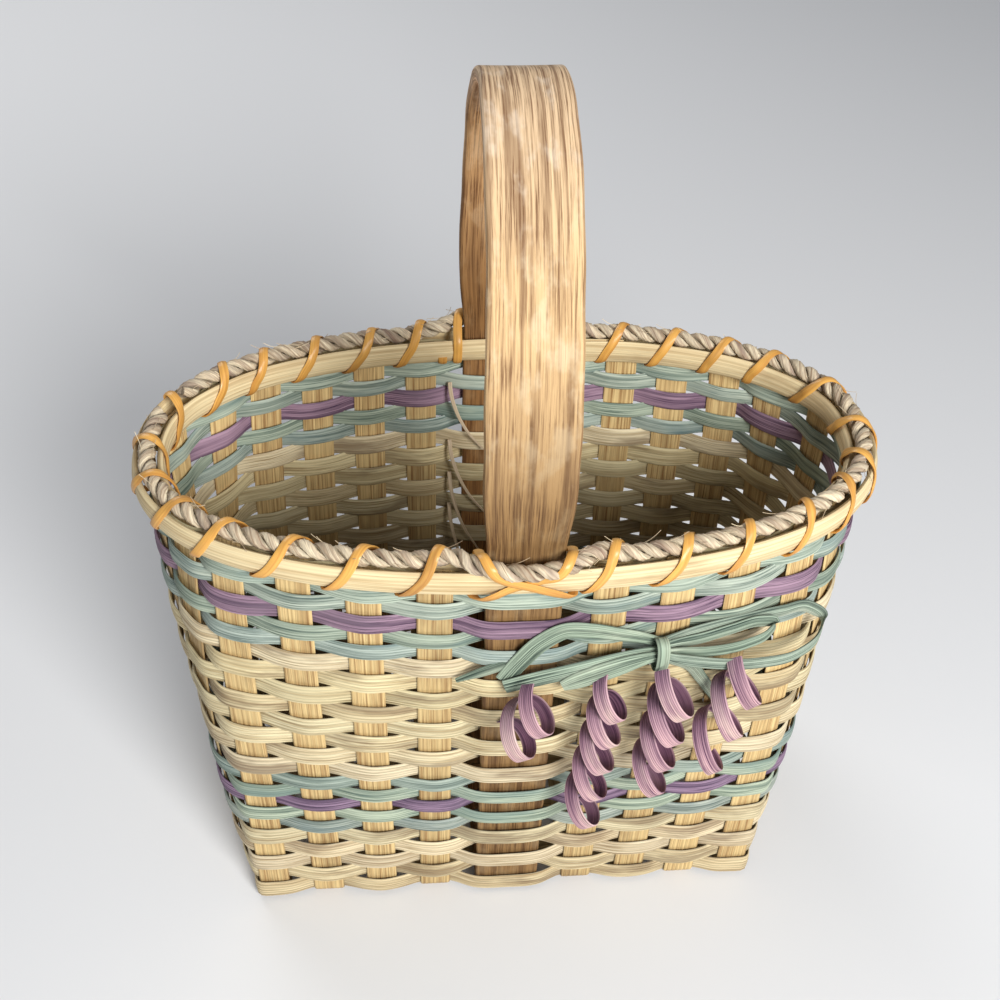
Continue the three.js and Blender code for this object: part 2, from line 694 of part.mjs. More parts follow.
function buildLashing(name, leg) {
  const crownShift = LEG_WIDTH / 2 + CANE_WIDTH;
  const slotShift = LEG_WIDTH / 2 + 0.8 * CANE_WIDTH;
  const lastSlotShift = slotShift + CANE_WIDTH + LAST_SLOT_GAP;
  const outerLayer = CANE_THICKNESS + CROSS_LAYER_GAP;
  const atLeg = (corner, shift) => caneSectionAtLeg(raisedProfile, corner, leg, shift);
  const half = (a, b) => a.map((point, i) => point.clone().lerp(b[i], 0.5));
  const sections = [];
  sections.push(half(atLeg(0, -crownShift), atLeg(1, -crownShift)));
  sections.push(atLeg(1, -crownShift), atLeg(2, -crownShift), atLeg(3, -crownShift), atLeg(4, -crownShift));
  sections.push(...crossingSections(leg, CROSS_TURN - crownShift, slotShift - CROSS_TURN, outerLayer));
  sections.push(atLeg(5, slotShift), atLeg(0, slotShift));
  sections.push(atLeg(1, crownShift), atLeg(2, crownShift), atLeg(3, crownShift), atLeg(4, crownShift));
  sections.push(...crossingSections(leg, crownShift - CROSS_TURN, CROSS_TURN - crownShift, 0));
  sections.push(atLeg(5, -crownShift - CANE_WIDTH / 2));
  const wraps = uprightCount / 2 - 1;
  for (let i = 1; i <= wraps; i++) {
    const profile = i === 1 || i === wraps ? risingProfile : wrapProfile;
    // Where each corner of the profile lies between the gap before the upright and the gap after it
    const stops = [0.5, 0.17, 0.03, -0.03, -0.17, -0.5];
    stops.forEach((stop, corner) => {
      const last = i === wraps && corner === profile.length - 1;
      if (!last) sections.push(caneSection(profile, corner, leg - i + stop));
    });
  }
  const otherLeg = leg - uprightCount / 2;
  const atEnd = (corner) => caneSectionAtLeg(wrapProfile, corner, otherLeg, lastSlotShift);
  sections.push(atEnd(5), half(atEnd(5), atEnd(0)));
  addPiece(name, bodyThrough(sections), materials.cane);
  return sections;
}

// Ornament
// Place on the front wall, given by where it lies across and up.
function frontFrame(x, z) {
  const stations = [];
  for (let number = -STAKES_BESIDE_LEG - 2; number <= STAKES_BESIDE_LEG + 2; number++) {
    for (const side of [-1, 1]) {
      const centre = wallPoint(number, side * edgeShift(number), 0, z);
      stations.push({ centre, out: wallFrame(number, z).out });
    }
  }
  const next = stations.findIndex((station) => station.centre.x > x);
  const a = stations[next - 1];
  const b = stations[next];
  const t = (x - a.centre.x) / (b.centre.x - a.centre.x);
  return {
    centre: a.centre.clone().lerp(b.centre, t),
    along: b.centre.clone().sub(a.centre).normalize(),
    out: a.out.clone().lerp(b.out, t).normalize(),
  };
}

// Strip along points given as [across, height, distance out from a ribbon that lies on the weave], with
// the first two counted from the middle of the knot.
function ribbonBody(points, widthAt, standing) {
  const lying = weaveReach + CLEARANCE + RIBBON_THICKNESS / 2;
  const frames = points.map(([x, z]) => frontFrame(KNOT_X + x, KNOT_Z + z));
  const places = points.map((point, i) => (
    frames[i].centre.clone().addScaledVector(frames[i].out, lying + point[2])
  ));
  const sections = places.map((place, i) => {
    const before = places[Math.max(0, i - 1)];
    const after = places[Math.min(places.length - 1, i + 1)];
    const run = after.clone().sub(before).normalize();
    const flat = standing ? up.clone().cross(run).normalize() : frames[i].out.clone();
    const width = flat.clone().cross(run).normalize();
    const thick = width.clone().cross(run).normalize().multiplyScalar(RIBBON_THICKNESS / 2);
    return stripSection(place, width.multiplyScalar(widthAt(i / (places.length - 1)) / 2), thick);
  });
  return bodyThrough(sections);
}

function buildBow() {
  const onLeg = legReach - weaveReach;
  const step = RIBBON_THICKNESS + CLEARANCE + 0.1;
  const beside = KNOT_WIDTH / 2 + CLEARANCE;
  const ribbon = () => RIBBON_WIDTH;
  const blunt = (t) => mix(0.55, 1, fade(0, 0.2, t)) * LEAF_WIDTH;
  const pointed = (t) => mix(TAIL_WIDTH, 0.45 * TAIL_WIDTH, fade(0.6, 1, t));
  addPiece('bow_right_outer_loop', ribbonBody([
    [beside + 0.35, -0.5, 7.6], [22.5, -4, 11.6], [43, -7, 14.6], [61, -8.5, 14.6], [72.5, -6.5, 11.2],
    [76.5, -2.5, 6.2], [72.5, 2.5, 1.6], [59, 5.5, 0.6], [39, 7, 0.4], [20.5, 6.5, 0.6],
    [beside + 0.35, 4.5, 1.6],
  ], ribbon, true), materials.ribbon);
  addPiece('bow_right_inner_loop', ribbonBody([
    [beside + 0.1, 1, 5.6], [22.5, -0.5, 7.4], [39, 0.5, 8.4], [49, 2.5, 7.4], [53, 5, 5.4],
    [47, 6.5, 3.5], [33.5, 5.5, 3], [18.5, 3.5, 3.1], [beside + 0.1, 3, 3.6],
  ], ribbon, true), materials.ribbon);
  addPiece('bow_left_upper_leaf', ribbonBody([
    [-beside - 0.06 * RIBBON_WIDTH, 5.5, 0.8], [-18.5, 11.5, 1.2], [-32.5, 17, onLeg + 0.5],
    [-44, 19, onLeg + step], [-53, 12.5, onLeg + step], [-62, 0.5, onLeg + step],
    [-69.5, -12.5, onLeg + step],
  ], ribbon, false), materials.ribbon);
  addPiece('bow_left_lower_leaf', ribbonBody([
    [-69.5, -14.5, onLeg + 3 * step], [-55, -10, onLeg + 3 * step], [-37.5, -5, onLeg + 3 * step],
    [-20.5, -1, 5.2], [-beside - 0.05 * RIBBON_WIDTH, 1.5, 4.2],
  ], ribbon, false), materials.ribbon);
  addPiece('bow_broad_leaf', ribbonBody([
    [-43.5, -14, onLeg + 4 * step], [-39, -12, onLeg + 4 * step], [-30.5, -8.5, onLeg + 4 * step],
    [-18.5, -4, 7], [-beside - 0.12 * LEAF_WIDTH, 0.5, 6.6],
  ], blunt, false), materials.ribbon);
  addPiece('bow_left_tail', ribbonBody([
    [-68.5, -3, onLeg], [-79.5, -8, onLeg], [-91, -13.5, onLeg],
  ], pointed, false), materials.ribbon);
  addPiece('bow_right_tail', ribbonBody([
    [beside + 0.23 * TAIL_WIDTH, -5, 2.6], [16, -14.5, 2], [24, -27, 1], [30, -38.5, 0.5],
    [34, -47.5, 0.3],
  ], pointed, false), materials.ribbon);
}

// The strap pulled tight round the middle of the bow.
function buildKnot() {
  const sections = [-1, -0.7, 0, 0.7, 1].map((share) => {
    const frame = frontFrame(KNOT_X, KNOT_Z + share * KNOT_HEIGHT / 2);
    const reach = KNOT_DEPTH * (1 - 0.5 * share ** 4);
    const halfWidth = KNOT_WIDTH / 2 * (1 - 0.3 * share ** 2);
    const offset = weaveReach + CLEARANCE + RIBBON_THICKNESS / 2;
    const centre = frame.centre.clone().addScaledVector(frame.out, offset + reach / 2);
    const width = frame.along.clone().setZ(0).normalize().multiplyScalar(halfWidth);
    return stripSection(centre, width, frame.out.clone().multiplyScalar(reach / 2));
  });
  addPiece('bow_knot', bodyThrough(sections), materials.ribbon);
}

// A curl is one strip of reed wound like a corkscrew that hangs against the wall. Its turns are tilted
// down to the right and turned a little to the front.
function buildCurl(curl) {
  const [from, to] = curl.turns;
  const steps = Math.round((to - from) * CURL_STEPS);
  const lean = THREE.MathUtils.degToRad(curl.lean);
  const tilt = THREE.MathUtils.degToRad(CURL_TILT);
  const turn = THREE.MathUtils.degToRad(CURL_TURN);
  const edgeRoom = CURL_WIDTH / 2 * Math.sin(tilt) * Math.sin(turn) + RIBBON_THICKNESS / 2 + curl.out;
  const place = (i) => {
    const turns = from + i / CURL_STEPS;
    const radius = (mix(...curl.size, turns / to) - RIBBON_THICKNESS) / 2;
    const drop = turns * mix(...curl.pitch, turns / to / 2);
    const frame = frontFrame(curl.x + drop * Math.sin(lean), curl.z - drop * Math.cos(lean));
    const reach = Math.abs(curl.x) < LEG_TO_STAKE - STAKE_WIDTH / 2 ? legReach : weaveReach;
    const standing = reach + CLEARANCE + edgeRoom + radius * Math.cos(turn);
    const axis = frame.centre.addScaledVector(frame.out, standing);
    const side = frame.along.clone().setZ(0).normalize().applyAxisAngle(up, -turn);
    const face = new THREE.Vector3(side.y, -side.x, 0);
    const across = side.multiplyScalar(Math.cos(tilt)).addScaledVector(up, -Math.sin(tilt));
    const angle = 2 * Math.PI * turns;
    const radial = across.multiplyScalar(-Math.sin(angle)).addScaledVector(face, -Math.cos(angle));
    return { point: axis.addScaledVector(radial, radius), radial };
  };
  const sections = [];
  for (let i = 0; i <= steps; i++) {
    const run = place(i + 0.5).point.sub(place(i - 0.5).point).normalize();
    const { point, radial } = place(i);
    const width = radial.clone().cross(run).normalize();
    const thick = run.clone().cross(width).normalize().multiplyScalar(RIBBON_THICKNESS / 2);
    sections.push(stripSection(point, width.multiplyScalar(CURL_WIDTH / 2), thick));
  }
  addPiece(curl.name, bodyThrough(sections), materials.curl);
  return sections;
}

// Ends of reed that stand loose inside the back wall, beside the leg of the handle.
function buildLooseEnds() {
  const leg = uprightCount / 2;
  LOOSE_ENDS.forEach((end, i) => {
    const row = rows[end.row - 1];
    const top = (row.bottom + row.top) / 2;
    const rootShift = LEG_WIDTH / 2 + 7;
    const root = weaveReach + CLEARANCE + 0.6 * LOOSE_END_THICKNESS;
    const path = [[0, 0], [0.12, 2.6], [0.35, 5], [0.65, 6.5], [1, 5]].map(([share, standing]) => (
      wallPoint(leg, rootShift - end.reach * share, -root - standing, top - end.drop * share)
    ));
    const out = wallFrame(leg, top).out;
    const sections = path.map((point, j) => {
      const run = path[Math.min(j + 1, path.length - 1)].clone().sub(path[Math.max(j - 1, 0)]).normalize();
      const width = out.clone().cross(run).normalize();
      const thick = width.clone().cross(run).multiplyScalar(LOOSE_END_THICKNESS / 2);
      return stripSection(point, width.multiplyScalar(LOOSE_END_WIDTH / 2), thick);
    });
    addPiece(`loose_reed_end_${i + 1}`, bodyThrough(sections), materials.natural);
  });
}

// Least distance between stretches of one strip that are at least some sections apart.
function leastGapToItself(sections, apart) {
  const points = sections.map((section, i) => {
    const next = sections[Math.min(i + 1, sections.length - 1)];
    const shares = [0, 0.25, 0.5, 0.75];
    return shares.flatMap((share) => section.map((corner, j) => corner.clone().lerp(next[j], share)));
  });
  let least = Infinity;
  for (let i = 0; i < points.length; i++) {
    for (let j = i + apart; j < points.length; j++) {
      for (const a of points[i]) {
        for (const b of points[j]) least = Math.min(least, a.distanceTo(b));
      }
    }
  }
  return least;
}

buildHandle();
buildCrosswiseStakes();
buildLengthwiseStakes();
buildRows();
buildRimReed('outer_rim', 1, 18);
buildRimReed('inner_rim', -1, 12);
buildSeagrass(20);
const woundStrips = {
  lashing_left: { sections: buildLashing('lashing_left', 0), apart: 4 },
  lashing_right: { sections: buildLashing('lashing_right', uprightCount / 2), apart: 4 },
};
for (const curl of CURLS) woundStrips[curl.name] = { sections: buildCurl(curl), apart: CURL_STEPS - 2 };
buildBow();
buildKnot();
buildLooseEnds();

for (const [name, strip] of Object.entries(woundStrips)) {
  console.log(`${name}: least gap to itself ${leastGapToItself(strip.sections, strip.apart).toFixed(2)} mm`);
}

export default basket;
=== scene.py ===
import math

import bpy
import numpy as np
from mathutils import Euler, Matrix, Vector


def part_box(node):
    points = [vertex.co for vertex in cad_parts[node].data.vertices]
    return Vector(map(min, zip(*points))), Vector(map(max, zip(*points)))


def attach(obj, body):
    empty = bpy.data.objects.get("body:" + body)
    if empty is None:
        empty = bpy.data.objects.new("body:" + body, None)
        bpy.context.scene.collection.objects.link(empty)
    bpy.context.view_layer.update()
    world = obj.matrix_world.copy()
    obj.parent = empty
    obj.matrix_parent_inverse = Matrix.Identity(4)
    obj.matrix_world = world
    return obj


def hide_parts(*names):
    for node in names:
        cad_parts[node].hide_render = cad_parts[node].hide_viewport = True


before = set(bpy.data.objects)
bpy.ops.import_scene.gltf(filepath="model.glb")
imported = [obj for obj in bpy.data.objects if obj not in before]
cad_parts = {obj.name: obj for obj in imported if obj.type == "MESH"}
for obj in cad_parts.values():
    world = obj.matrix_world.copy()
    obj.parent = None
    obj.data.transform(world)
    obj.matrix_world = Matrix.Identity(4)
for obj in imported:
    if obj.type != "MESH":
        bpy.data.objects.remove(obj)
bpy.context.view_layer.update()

# Camera
# It stands a little left of the middle, at arm's length, and looks down over the rim into the basket.
CAMERA_TURN = math.radians(-6.12)
CAMERA_LIFT = math.radians(42.89)
CAMERA_ROLL = math.radians(2.36)
CAMERA_DISTANCE = 0.6823
CAMERA_LENS = 50.58
CAMERA_AIM = Vector((-0.0034, 0.0, 0.2178))

bpy.ops.object.camera_add()
camera = bpy.context.object
camera_turn = Euler((math.pi / 2 - CAMERA_LIFT, 0, CAMERA_TURN)).to_matrix()
camera_turn = camera_turn @ Matrix.Rotation(CAMERA_ROLL, 3, "Z")
camera.rotation_euler = camera_turn.to_euler()
camera.location = CAMERA_AIM + camera_turn @ Vector((0, 0, CAMERA_DISTANCE))
camera.data.lens = CAMERA_LENS
camera.data.clip_start = 0.01
bpy.context.scene.camera = camera
bpy.context.scene.view_settings.view_transform = "Standard"


# Flat reed stakes
# Strips of rattan core 16 mm wide, soaked and laid across each other as the base. Each is folded up at
# both walls, and stands inside the rim. The lengthwise ones go over and under the crosswise ones.
BASE_LENGTH = 0.270
BASE_DEPTH = 0.152
RIM_LENGTH = 0.331
RIM_DEPTH = 0.164
RIM_SQUARENESS = 2.25
END_BULGE = 0.0085
FRONT_BULGE = 0.0015
STAKE_WIDTH = 0.0159
STAKE_THICKNESS = 0.0012
STAKE_RIBS = 7
STAKES_BESIDE_LEG = 4
LEG_TO_STAKE = 0.0385
PITCH_AT_BASE = 0.0287
FRONT_PITCH_AT_RIM = 0.0312
BACK_PITCH_AT_RIM = 0.0265
END_STAKES = 5
END_PITCH_AT_BASE = 0.028
FRONT_END_PITCH_AT_RIM = 0.0236
BACK_END_PITCH_AT_RIM = 0.031
LEG_WIDTH = 0.0335
CLEARANCE = 0.0003
UPRIGHTS = 4 * STAKES_BESIDE_LEG + 2 * END_STAKES + 2
HALF = UPRIGHTS // 2
QUARTER = UPRIGHTS // 4
rim_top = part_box("outer_rim")[1].z
stake_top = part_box("crosswise_stake_1")[1].z
dice = np.random.default_rng(28)


def rim_quarter(pitch, end_pitch):
    """Places and runs of the uprights on a quarter of the rim, from a leg to the right end."""
    angle = np.linspace(0, math.pi / 2, 401)
    x = RIM_LENGTH / 2 * np.sin(angle) ** (2 / RIM_SQUARENESS)
    y = -RIM_DEPTH / 2 * np.cos(angle) ** (2 / RIM_SQUARENESS)
    travelled = np.concatenate([[0], np.cumsum(np.hypot(np.diff(x), np.diff(y)))])

    def at(distance):
        return np.array([np.interp(distance, travelled, x), np.interp(distance, travelled, y)])

    step = 0.001
    places = []
    for index in range(QUARTER + 1):
        distance = LEG_TO_STAKE + (index - 1) * pitch if index else 0
        if index > STAKES_BESIDE_LEG:
            distance = travelled[-1] - (QUARTER - index) * end_pitch
        run = at(distance + step) - at(distance - step)
        if index == 0:
            run = np.array([1.0, 0.0])
        if index == QUARTER:
            run = np.array([0.0, 1.0])
        places.append((at(distance), run / np.linalg.norm(run)))
    return places


def base_quarter():
    """The same places on the outline of the base, which is a rectangle."""
    places = []
    for index in range(QUARTER + 1):
        if index > STAKES_BESIDE_LEG:
            y = -(QUARTER - index) * END_PITCH_AT_BASE
            places.append((np.array([BASE_LENGTH / 2, y]), np.array([0.0, 1.0])))
        else:
            x = LEG_TO_STAKE + (index - 1) * PITCH_AT_BASE if index else 0
            places.append((np.array([x, -BASE_DEPTH / 2]), np.array([1.0, 0.0])))
    return places


def all_round(front_quarter, back_quarter):
    """Mirrors the places of two quarters into all uprights, numbered from the front leg to the right."""
    middles, runs = [], []
    for number in range(UPRIGHTS):
        if number <= QUARTER:
            quarter, index, flip_x, flip_y = front_quarter, number, 1, 1
        elif number <= HALF:
            quarter, index, flip_x, flip_y = back_quarter, HALF - number, 1, -1
        elif number <= HALF + QUARTER:
            quarter, index, flip_x, flip_y = back_quarter, number - HALF, -1, -1
        else:
            quarter, index, flip_x, flip_y = front_quarter, UPRIGHTS - number, -1, 1
        middle, run = quarter[index]
        middles.append(middle * [flip_x, flip_y])
        runs.append(run * [flip_y, flip_x])
    return np.array(middles), np.array(runs)


base_middles, base_runs = all_round(base_quarter(), base_quarter())
rim_middles, rim_runs = all_round(rim_quarter(FRONT_PITCH_AT_RIM, FRONT_END_PITCH_AT_RIM),
                                  rim_quarter(BACK_PITCH_AT_RIM, BACK_END_PITCH_AT_RIM))


def wall(number, shift, offset, height):
    """Points by upright number, distance along the wall, distance out from its middle, and height."""
    number, shift, offset, height = np.broadcast_arrays(number, shift, offset, height)
    number = number % UPRIGHTS
    share = np.clip(height / rim_top, 0, 1)[..., None]
    run = base_runs[number] * (1 - share) + rim_runs[number] * share
    run = run / np.linalg.norm(run, axis=-1, keepdims=True)
    out = np.stack([run[..., 1], -run[..., 0]], axis=-1)
    middle = base_middles[number] * (1 - share) + rim_middles[number] * share
    bulge = 4 * share * (1 - share) * out * [END_BULGE, FRONT_BULGE]
    flat = middle + bulge + run * shift[..., None] + out * offset[..., None]
    return np.concatenate([flat, height[..., None]], axis=-1)


def upright_run(number, height):
    """Direction along the wall at an upright."""
    step = 0.001
    run = wall(number, step, 0.0, height) - wall(number, 0.0, 0.0, height)
    return run / np.linalg.norm(run, axis=-1, keepdims=True)


def unit(vectors):
    return vectors / np.maximum(np.linalg.norm(vectors, axis=-1, keepdims=True), 1e-12)


def run_of(points):
    """Direction along a line of points."""
    return unit(np.gradient(points, axis=0))


def distance_along(points):
    """Distance from the first point of a line to each of them."""
    steps = np.linalg.norm(np.diff(points, axis=0), axis=1)
    return np.concatenate([[0], np.cumsum(steps)])


def smooth_route(points, spacing):
    """Evenly spaced rows of a smooth curve through rows of numbers, whose first three are a point."""
    points = np.asarray(points, float)
    place = distance_along(points[:, :3])
    slope = np.gradient(points, place, axis=0)
    count = max(2, int(round(place[-1] / spacing)) + 1)
    at = np.linspace(0, place[-1], count)
    i = np.clip(np.searchsorted(place, at, side="right") - 1, 0, len(points) - 2)
    width = (place[i + 1] - place[i])[:, None]
    t = ((at - place[i])[:, None]) / width
    return ((2 * t**3 - 3 * t**2 + 1) * points[i] + (t**3 - 2 * t**2 + t) * width * slope[i]
            + (3 * t**2 - 2 * t**3) * points[i + 1] + (t**3 - t**2) * width * slope[i + 1])


def reed_profile(width, thickness, crown, ribs, rib_depth):
    """Outline of a strip, across and out: a crowned, ribbed face, and a flat back with rounded edges."""
    half = width / 2
    edge = min(thickness * 0.5, half)
    face = np.linspace(-half, half, 4 * ribs + 1)
    share = face / half
    height = thickness / 2 - crown * share**2 - (thickness / 2 - crown) * np.abs(share) ** 12
    height += rib_depth * (np.cos(2 * math.pi * ribs * (face + half) / width + math.pi) - 1) / 2
    back = np.linspace(half - 0.3 * edge, -half + 0.3 * edge, 2 * ribs + 1)
    back_height = -thickness / 2 + 0.5 * thickness * np.abs(back / half) ** 14
    back_height += rib_depth * 0.5 * (1 - np.cos(2 * math.pi * ribs * (back + half) / width)) / 2
    return np.concatenate([np.stack([face, height], 1), np.stack([back, back_height], 1)])


def rib_groove_shade(ribs, darkness):
    """Tone of a ribbed strip's outline: its grooves are darkened with painted shade."""
    face = np.array([1.0, 0.35, 0.0, 0.35] * ribs + [1.0])
    back = np.array([0.45, 0.0] * ribs + [0.45])
    return (1 - darkness * np.concatenate([face, back]))[:, None]


def strip(name, middle, across, profile, grain_start, tone=(1.0, 1.0, 1.0)):
    """A long piece: an outline carried along a route. Its UV map holds metres along and round it, from a
    start of its own so that no two pieces share their grain. Its tone, one colour or one for each ring and
    corner, is what its material multiplies in."""
    rings = len(middle)
    profile = np.asarray(profile, float)
    if profile.ndim == 2:
        profile = np.broadcast_to(profile, (rings,) + profile.shape)
    corners = profile.shape[1]
    run = run_of(middle)
    across = unit(across - run * np.sum(across * run, axis=1, keepdims=True))
    out = np.cross(run, across)
    bpy.ops.mesh.primitive_grid_add(x_subdivisions=corners, y_subdivisions=rings - 1, size=1, calc_uvs=True)
    piece = bpy.context.object
    piece.name = name
    mesh = piece.data
    mesh.name = name
    flat = np.empty(3 * len(mesh.vertices))
    mesh.vertices.foreach_get("co", flat)
    flat = flat.reshape(-1, 3)
    column = np.rint((flat[:, 0] + 0.5) * corners).astype(int)
    ring = np.rint((flat[:, 1] + 0.5) * (rings - 1)).astype(int)
    place = profile[ring, column % corners]
    points = middle[ring] + across[ring] * place[:, :1] + out[ring] * place[:, 1:]
    mesh.vertices.foreach_set("co", points.ravel())
    along = distance_along(middle) + grain_start
    around = distance_along([*profile[0], profile[0][0]])
    loop_vertex = np.empty(len(mesh.loops), int)
    mesh.loops.foreach_get("vertex_index", loop_vertex)
    uv = np.stack([along[ring], around[column]], axis=1)[loop_vertex]
    mesh.uv_layers[0].data.foreach_set("uv", uv.ravel())
    tones = np.ones((len(mesh.vertices), 4))
    tones[:, :3] = np.broadcast_to(tone, (rings, corners, 3))[ring, column % corners]
    mesh.attributes.new("tone", "FLOAT_COLOR", "POINT").data.foreach_set("color", tones.ravel())
    mesh.update()
    bpy.ops.object.mode_set(mode="EDIT")
    bpy.ops.mesh.select_all(action="SELECT")
    bpy.ops.mesh.remove_doubles(threshold=1e-6)
    bpy.ops.mesh.select_all(action="DESELECT")
    bpy.ops.mesh.select_non_manifold(extend=False, use_wire=False, use_multi_face=False)
    bpy.ops.mesh.fill_holes(sides=0)
    bpy.ops.mesh.select_all(action="SELECT")
    bpy.ops.mesh.normals_make_consistent(inside=False)
    bpy.ops.object.mode_set(mode="OBJECT")
    bpy.ops.object.shade_smooth_by_angle(angle=math.radians(50))
    return piece


def dress(piece, material, slot, *nodes):
    piece.data.materials.clear()
    piece.data.materials.append(material)
    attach(piece, "root")
    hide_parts(*nodes)


def new_material(name):
    """A new material and its Principled shader."""
    material = bpy.data.materials.new(name)
    material.use_nodes = True
    return material, material.node_tree.nodes["Principled BSDF"]


def linear(red, green, blue):
    """A colour as the eye reads it, 0 to 255, for a shader."""
    shares = [value / 255 for value in (red, green, blue)]
    return (*(((share + 0.055) / 1.055) ** 2.4 for share in shares), 1.0)


def build_grain_group():
    """Split reed or wood: pale and deep fibres along it, broader bands, and stains in blots."""
    group = bpy.data.node_groups.new("reed_grain", "ShaderNodeTree")
    face = group.interface
    for label, kind, value in (
        ("Place", "Vector", (0, 0, 0)),
        ("Fibres Across", "Float", 1500.0),
        ("Fibres Along", "Float", 30.0),
        ("Pale", "Color", (0.8, 0.7, 0.5, 1)),
        ("Deep", "Color", (0.5, 0.35, 0.18, 1)),
        ("Stain", "Color", (0.3, 0.2, 0.12, 1)),
        ("Streaks", "Float", 0.5),
        ("Bands", "Float", 0.4),
        ("Stains", "Float", 0.3),
        ("Blots Along", "Float", 14.0),
        ("Blots Across", "Float", 60.0),
    ):
        socket = face.new_socket(label, in_out="INPUT", socket_type=f"NodeSocket{kind}")
        socket.default_value = value
    for label, kind in (("Color", "Color"), ("Roughness", "Float"), ("Height", "Float")):
        face.new_socket(label, in_out="OUTPUT", socket_type=f"NodeSocket{kind}")
    nodes, links = group.nodes, group.links
    entry = nodes.new("NodeGroupInput")
    result = nodes.new("NodeGroupOutput")

    def stretched_noise(along, across, detail, roughness):
        scale = nodes.new("ShaderNodeCombineXYZ")
        for socket, value in (("X", along), ("Y", across)):
            if isinstance(value, str):
                links.new(entry.outputs[value], scale.inputs[socket])
            else:
                scale.inputs[socket].default_value = value
        stretch = nodes.new("ShaderNodeVectorMath")
        stretch.operation = "MULTIPLY"
        links.new(entry.outputs["Place"], stretch.inputs[0])
        links.new(scale.outputs[0], stretch.inputs[1])
        noise = nodes.new("ShaderNodeTexNoise")
        noise.inputs["Scale"].default_value = 1
        noise.inputs["Detail"].default_value = detail
        noise.inputs["Roughness"].default_value = roughness
        links.new(stretch.outputs[0], noise.inputs["Vector"])
        return noise.outputs["Fac"]

    def contrast(value, low, high):
        ramp = nodes.new("ShaderNodeMapRange")
        ramp.interpolation_type = "SMOOTHSTEP"
        ramp.inputs["From Min"].default_value = low
        ramp.inputs["From Max"].default_value = high
        links.new(value, ramp.inputs["Value"])
        return ramp.outputs["Result"]

    def product(first, second):
        amount = nodes.new("ShaderNodeMath")
        amount.operation = "MULTIPLY"
        links.new(first, amount.inputs[0])
        links.new(second, amount.inputs[1])
        return amount.outputs[0]

    def blended(base, colour, mask, strength):
        mix = nodes.new("ShaderNodeMix")
        mix.data_type = "RGBA"
        links.new(product(mask, entry.outputs[strength]), mix.inputs["Factor"])
        links.new(base, mix.inputs["A"])
        links.new(colour, mix.inputs["B"])
        return mix.outputs["Result"]

    fine = stretched_noise("Fibres Along", "Fibres Across", 4, 0.65)
    bands = stretched_noise(9.0, 330.0, 3, 0.6)
    blots = stretched_noise("Blots Along", "Blots Across", 4, 0.6)
    patches = stretched_noise(30.0, 12.0, 2, 0.5)
    colour = blended(entry.outputs["Pale"], entry.outputs["Deep"], contrast(bands, 0.42, 0.68), "Bands")
    streaks = product(contrast(fine, 0.44, 0.66), contrast(patches, 0.2, 0.6))
    colour = blended(colour, entry.outputs["Deep"], streaks, "Streaks")
    colour = blended(colour, entry.outputs["Stain"], contrast(blots, 0.5, 0.66), "Stains")
    links.new(colour, result.inputs["Color"])
    rough = nodes.new("ShaderNodeMapRange")
    rough.inputs["To Min"].default_value = 0.5
    rough.inputs["To Max"].default_value = 0.85
    links.new(fine, rough.inputs["Value"])
    links.new(rough.outputs["Result"], result.inputs["Roughness"])
    links.new(fine, result.inputs["Height"])
    return group


grain_group = build_grain_group()


def reed_material(name, pale, deep, stain, streaks, bands, stains, across=1500.0, along=30.0, bump=0.35,
                  blots=(14.0, 60.0)):
    """Reed whose grain runs along the piece's own UV map. The piece's tone makes it lighter or darker."""
    material, shader = new_material(name)
    nodes, links = material.node_tree.nodes, material.node_tree.links
    uv = nodes.new("ShaderNodeUVMap")
    grain = nodes.new("ShaderNodeGroup")
    grain.node_tree = grain_group
    for label, value in (("Fibres Across", across), ("Fibres Along", along), ("Pale", linear(*pale)),
                         ("Deep", linear(*deep)), ("Stain", linear(*stain)), ("Streaks", streaks),
                         ("Bands", bands), ("Stains", stains), ("Blots Along", blots[0]),
                         ("Blots Across", blots[1])):
        grain.inputs[label].default_value = value
    links.new(uv.outputs["UV"], grain.inputs["Place"])
    tone = nodes.new("ShaderNodeAttribute")
    tone.attribute_name = "tone"
    shade = nodes.new("ShaderNodeMix")
    shade.data_type = "RGBA"
    shade.blend_type = "MULTIPLY"
    shade.inputs["Factor"].default_value = 1
    links.new(grain.outputs["Color"], shade.inputs["A"])
    links.new(tone.outputs["Color"], shade.inputs["B"])
    links.new(shade.outputs["Result"], shader.inputs["Base Color"])
    links.new(grain.outputs["Roughness"], shader.inputs["Roughness"])
    relief = nodes.new("ShaderNodeBump")
    relief.inputs["Strength"].default_value = bump
    relief.inputs["Distance"].default_value = 0.0003
    links.new(grain.outputs["Height"], relief.inputs["Height"])
    links.new(relief.outputs["Normal"], shader.inputs["Normal"])
    shader.inputs["Specular IOR Level"].default_value = 0.35
    return material


base_stake_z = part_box("lengthwise_stake_1")[0].z + 1.5 * STAKE_THICKNESS + CLEARANCE
under_z = STAKE_THICKNESS / 2
over_z = base_stake_z + STAKE_THICKNESS + CLEARANCE
FOLD_RADIUS = 0.003
# Painted shade inside the basket starts below this height and deepens over this much further down
INSIDE_SHADE_BELOW = 0.21
INSIDE_SHADE_OVER = 0.12
stake_outline = reed_profile(STAKE_WIDTH, STAKE_THICKNESS, crown=0.0, ribs=STAKE_RIBS, rib_depth=0.0001)
stake_reed = reed_material("stake_reed", pale=(227, 199, 142), deep=(148, 106, 60), stain=(104, 74, 46),
                           streaks=0.9, bands=0.5, stains=0.3, across=1300.0, along=14.0, bump=0.6)


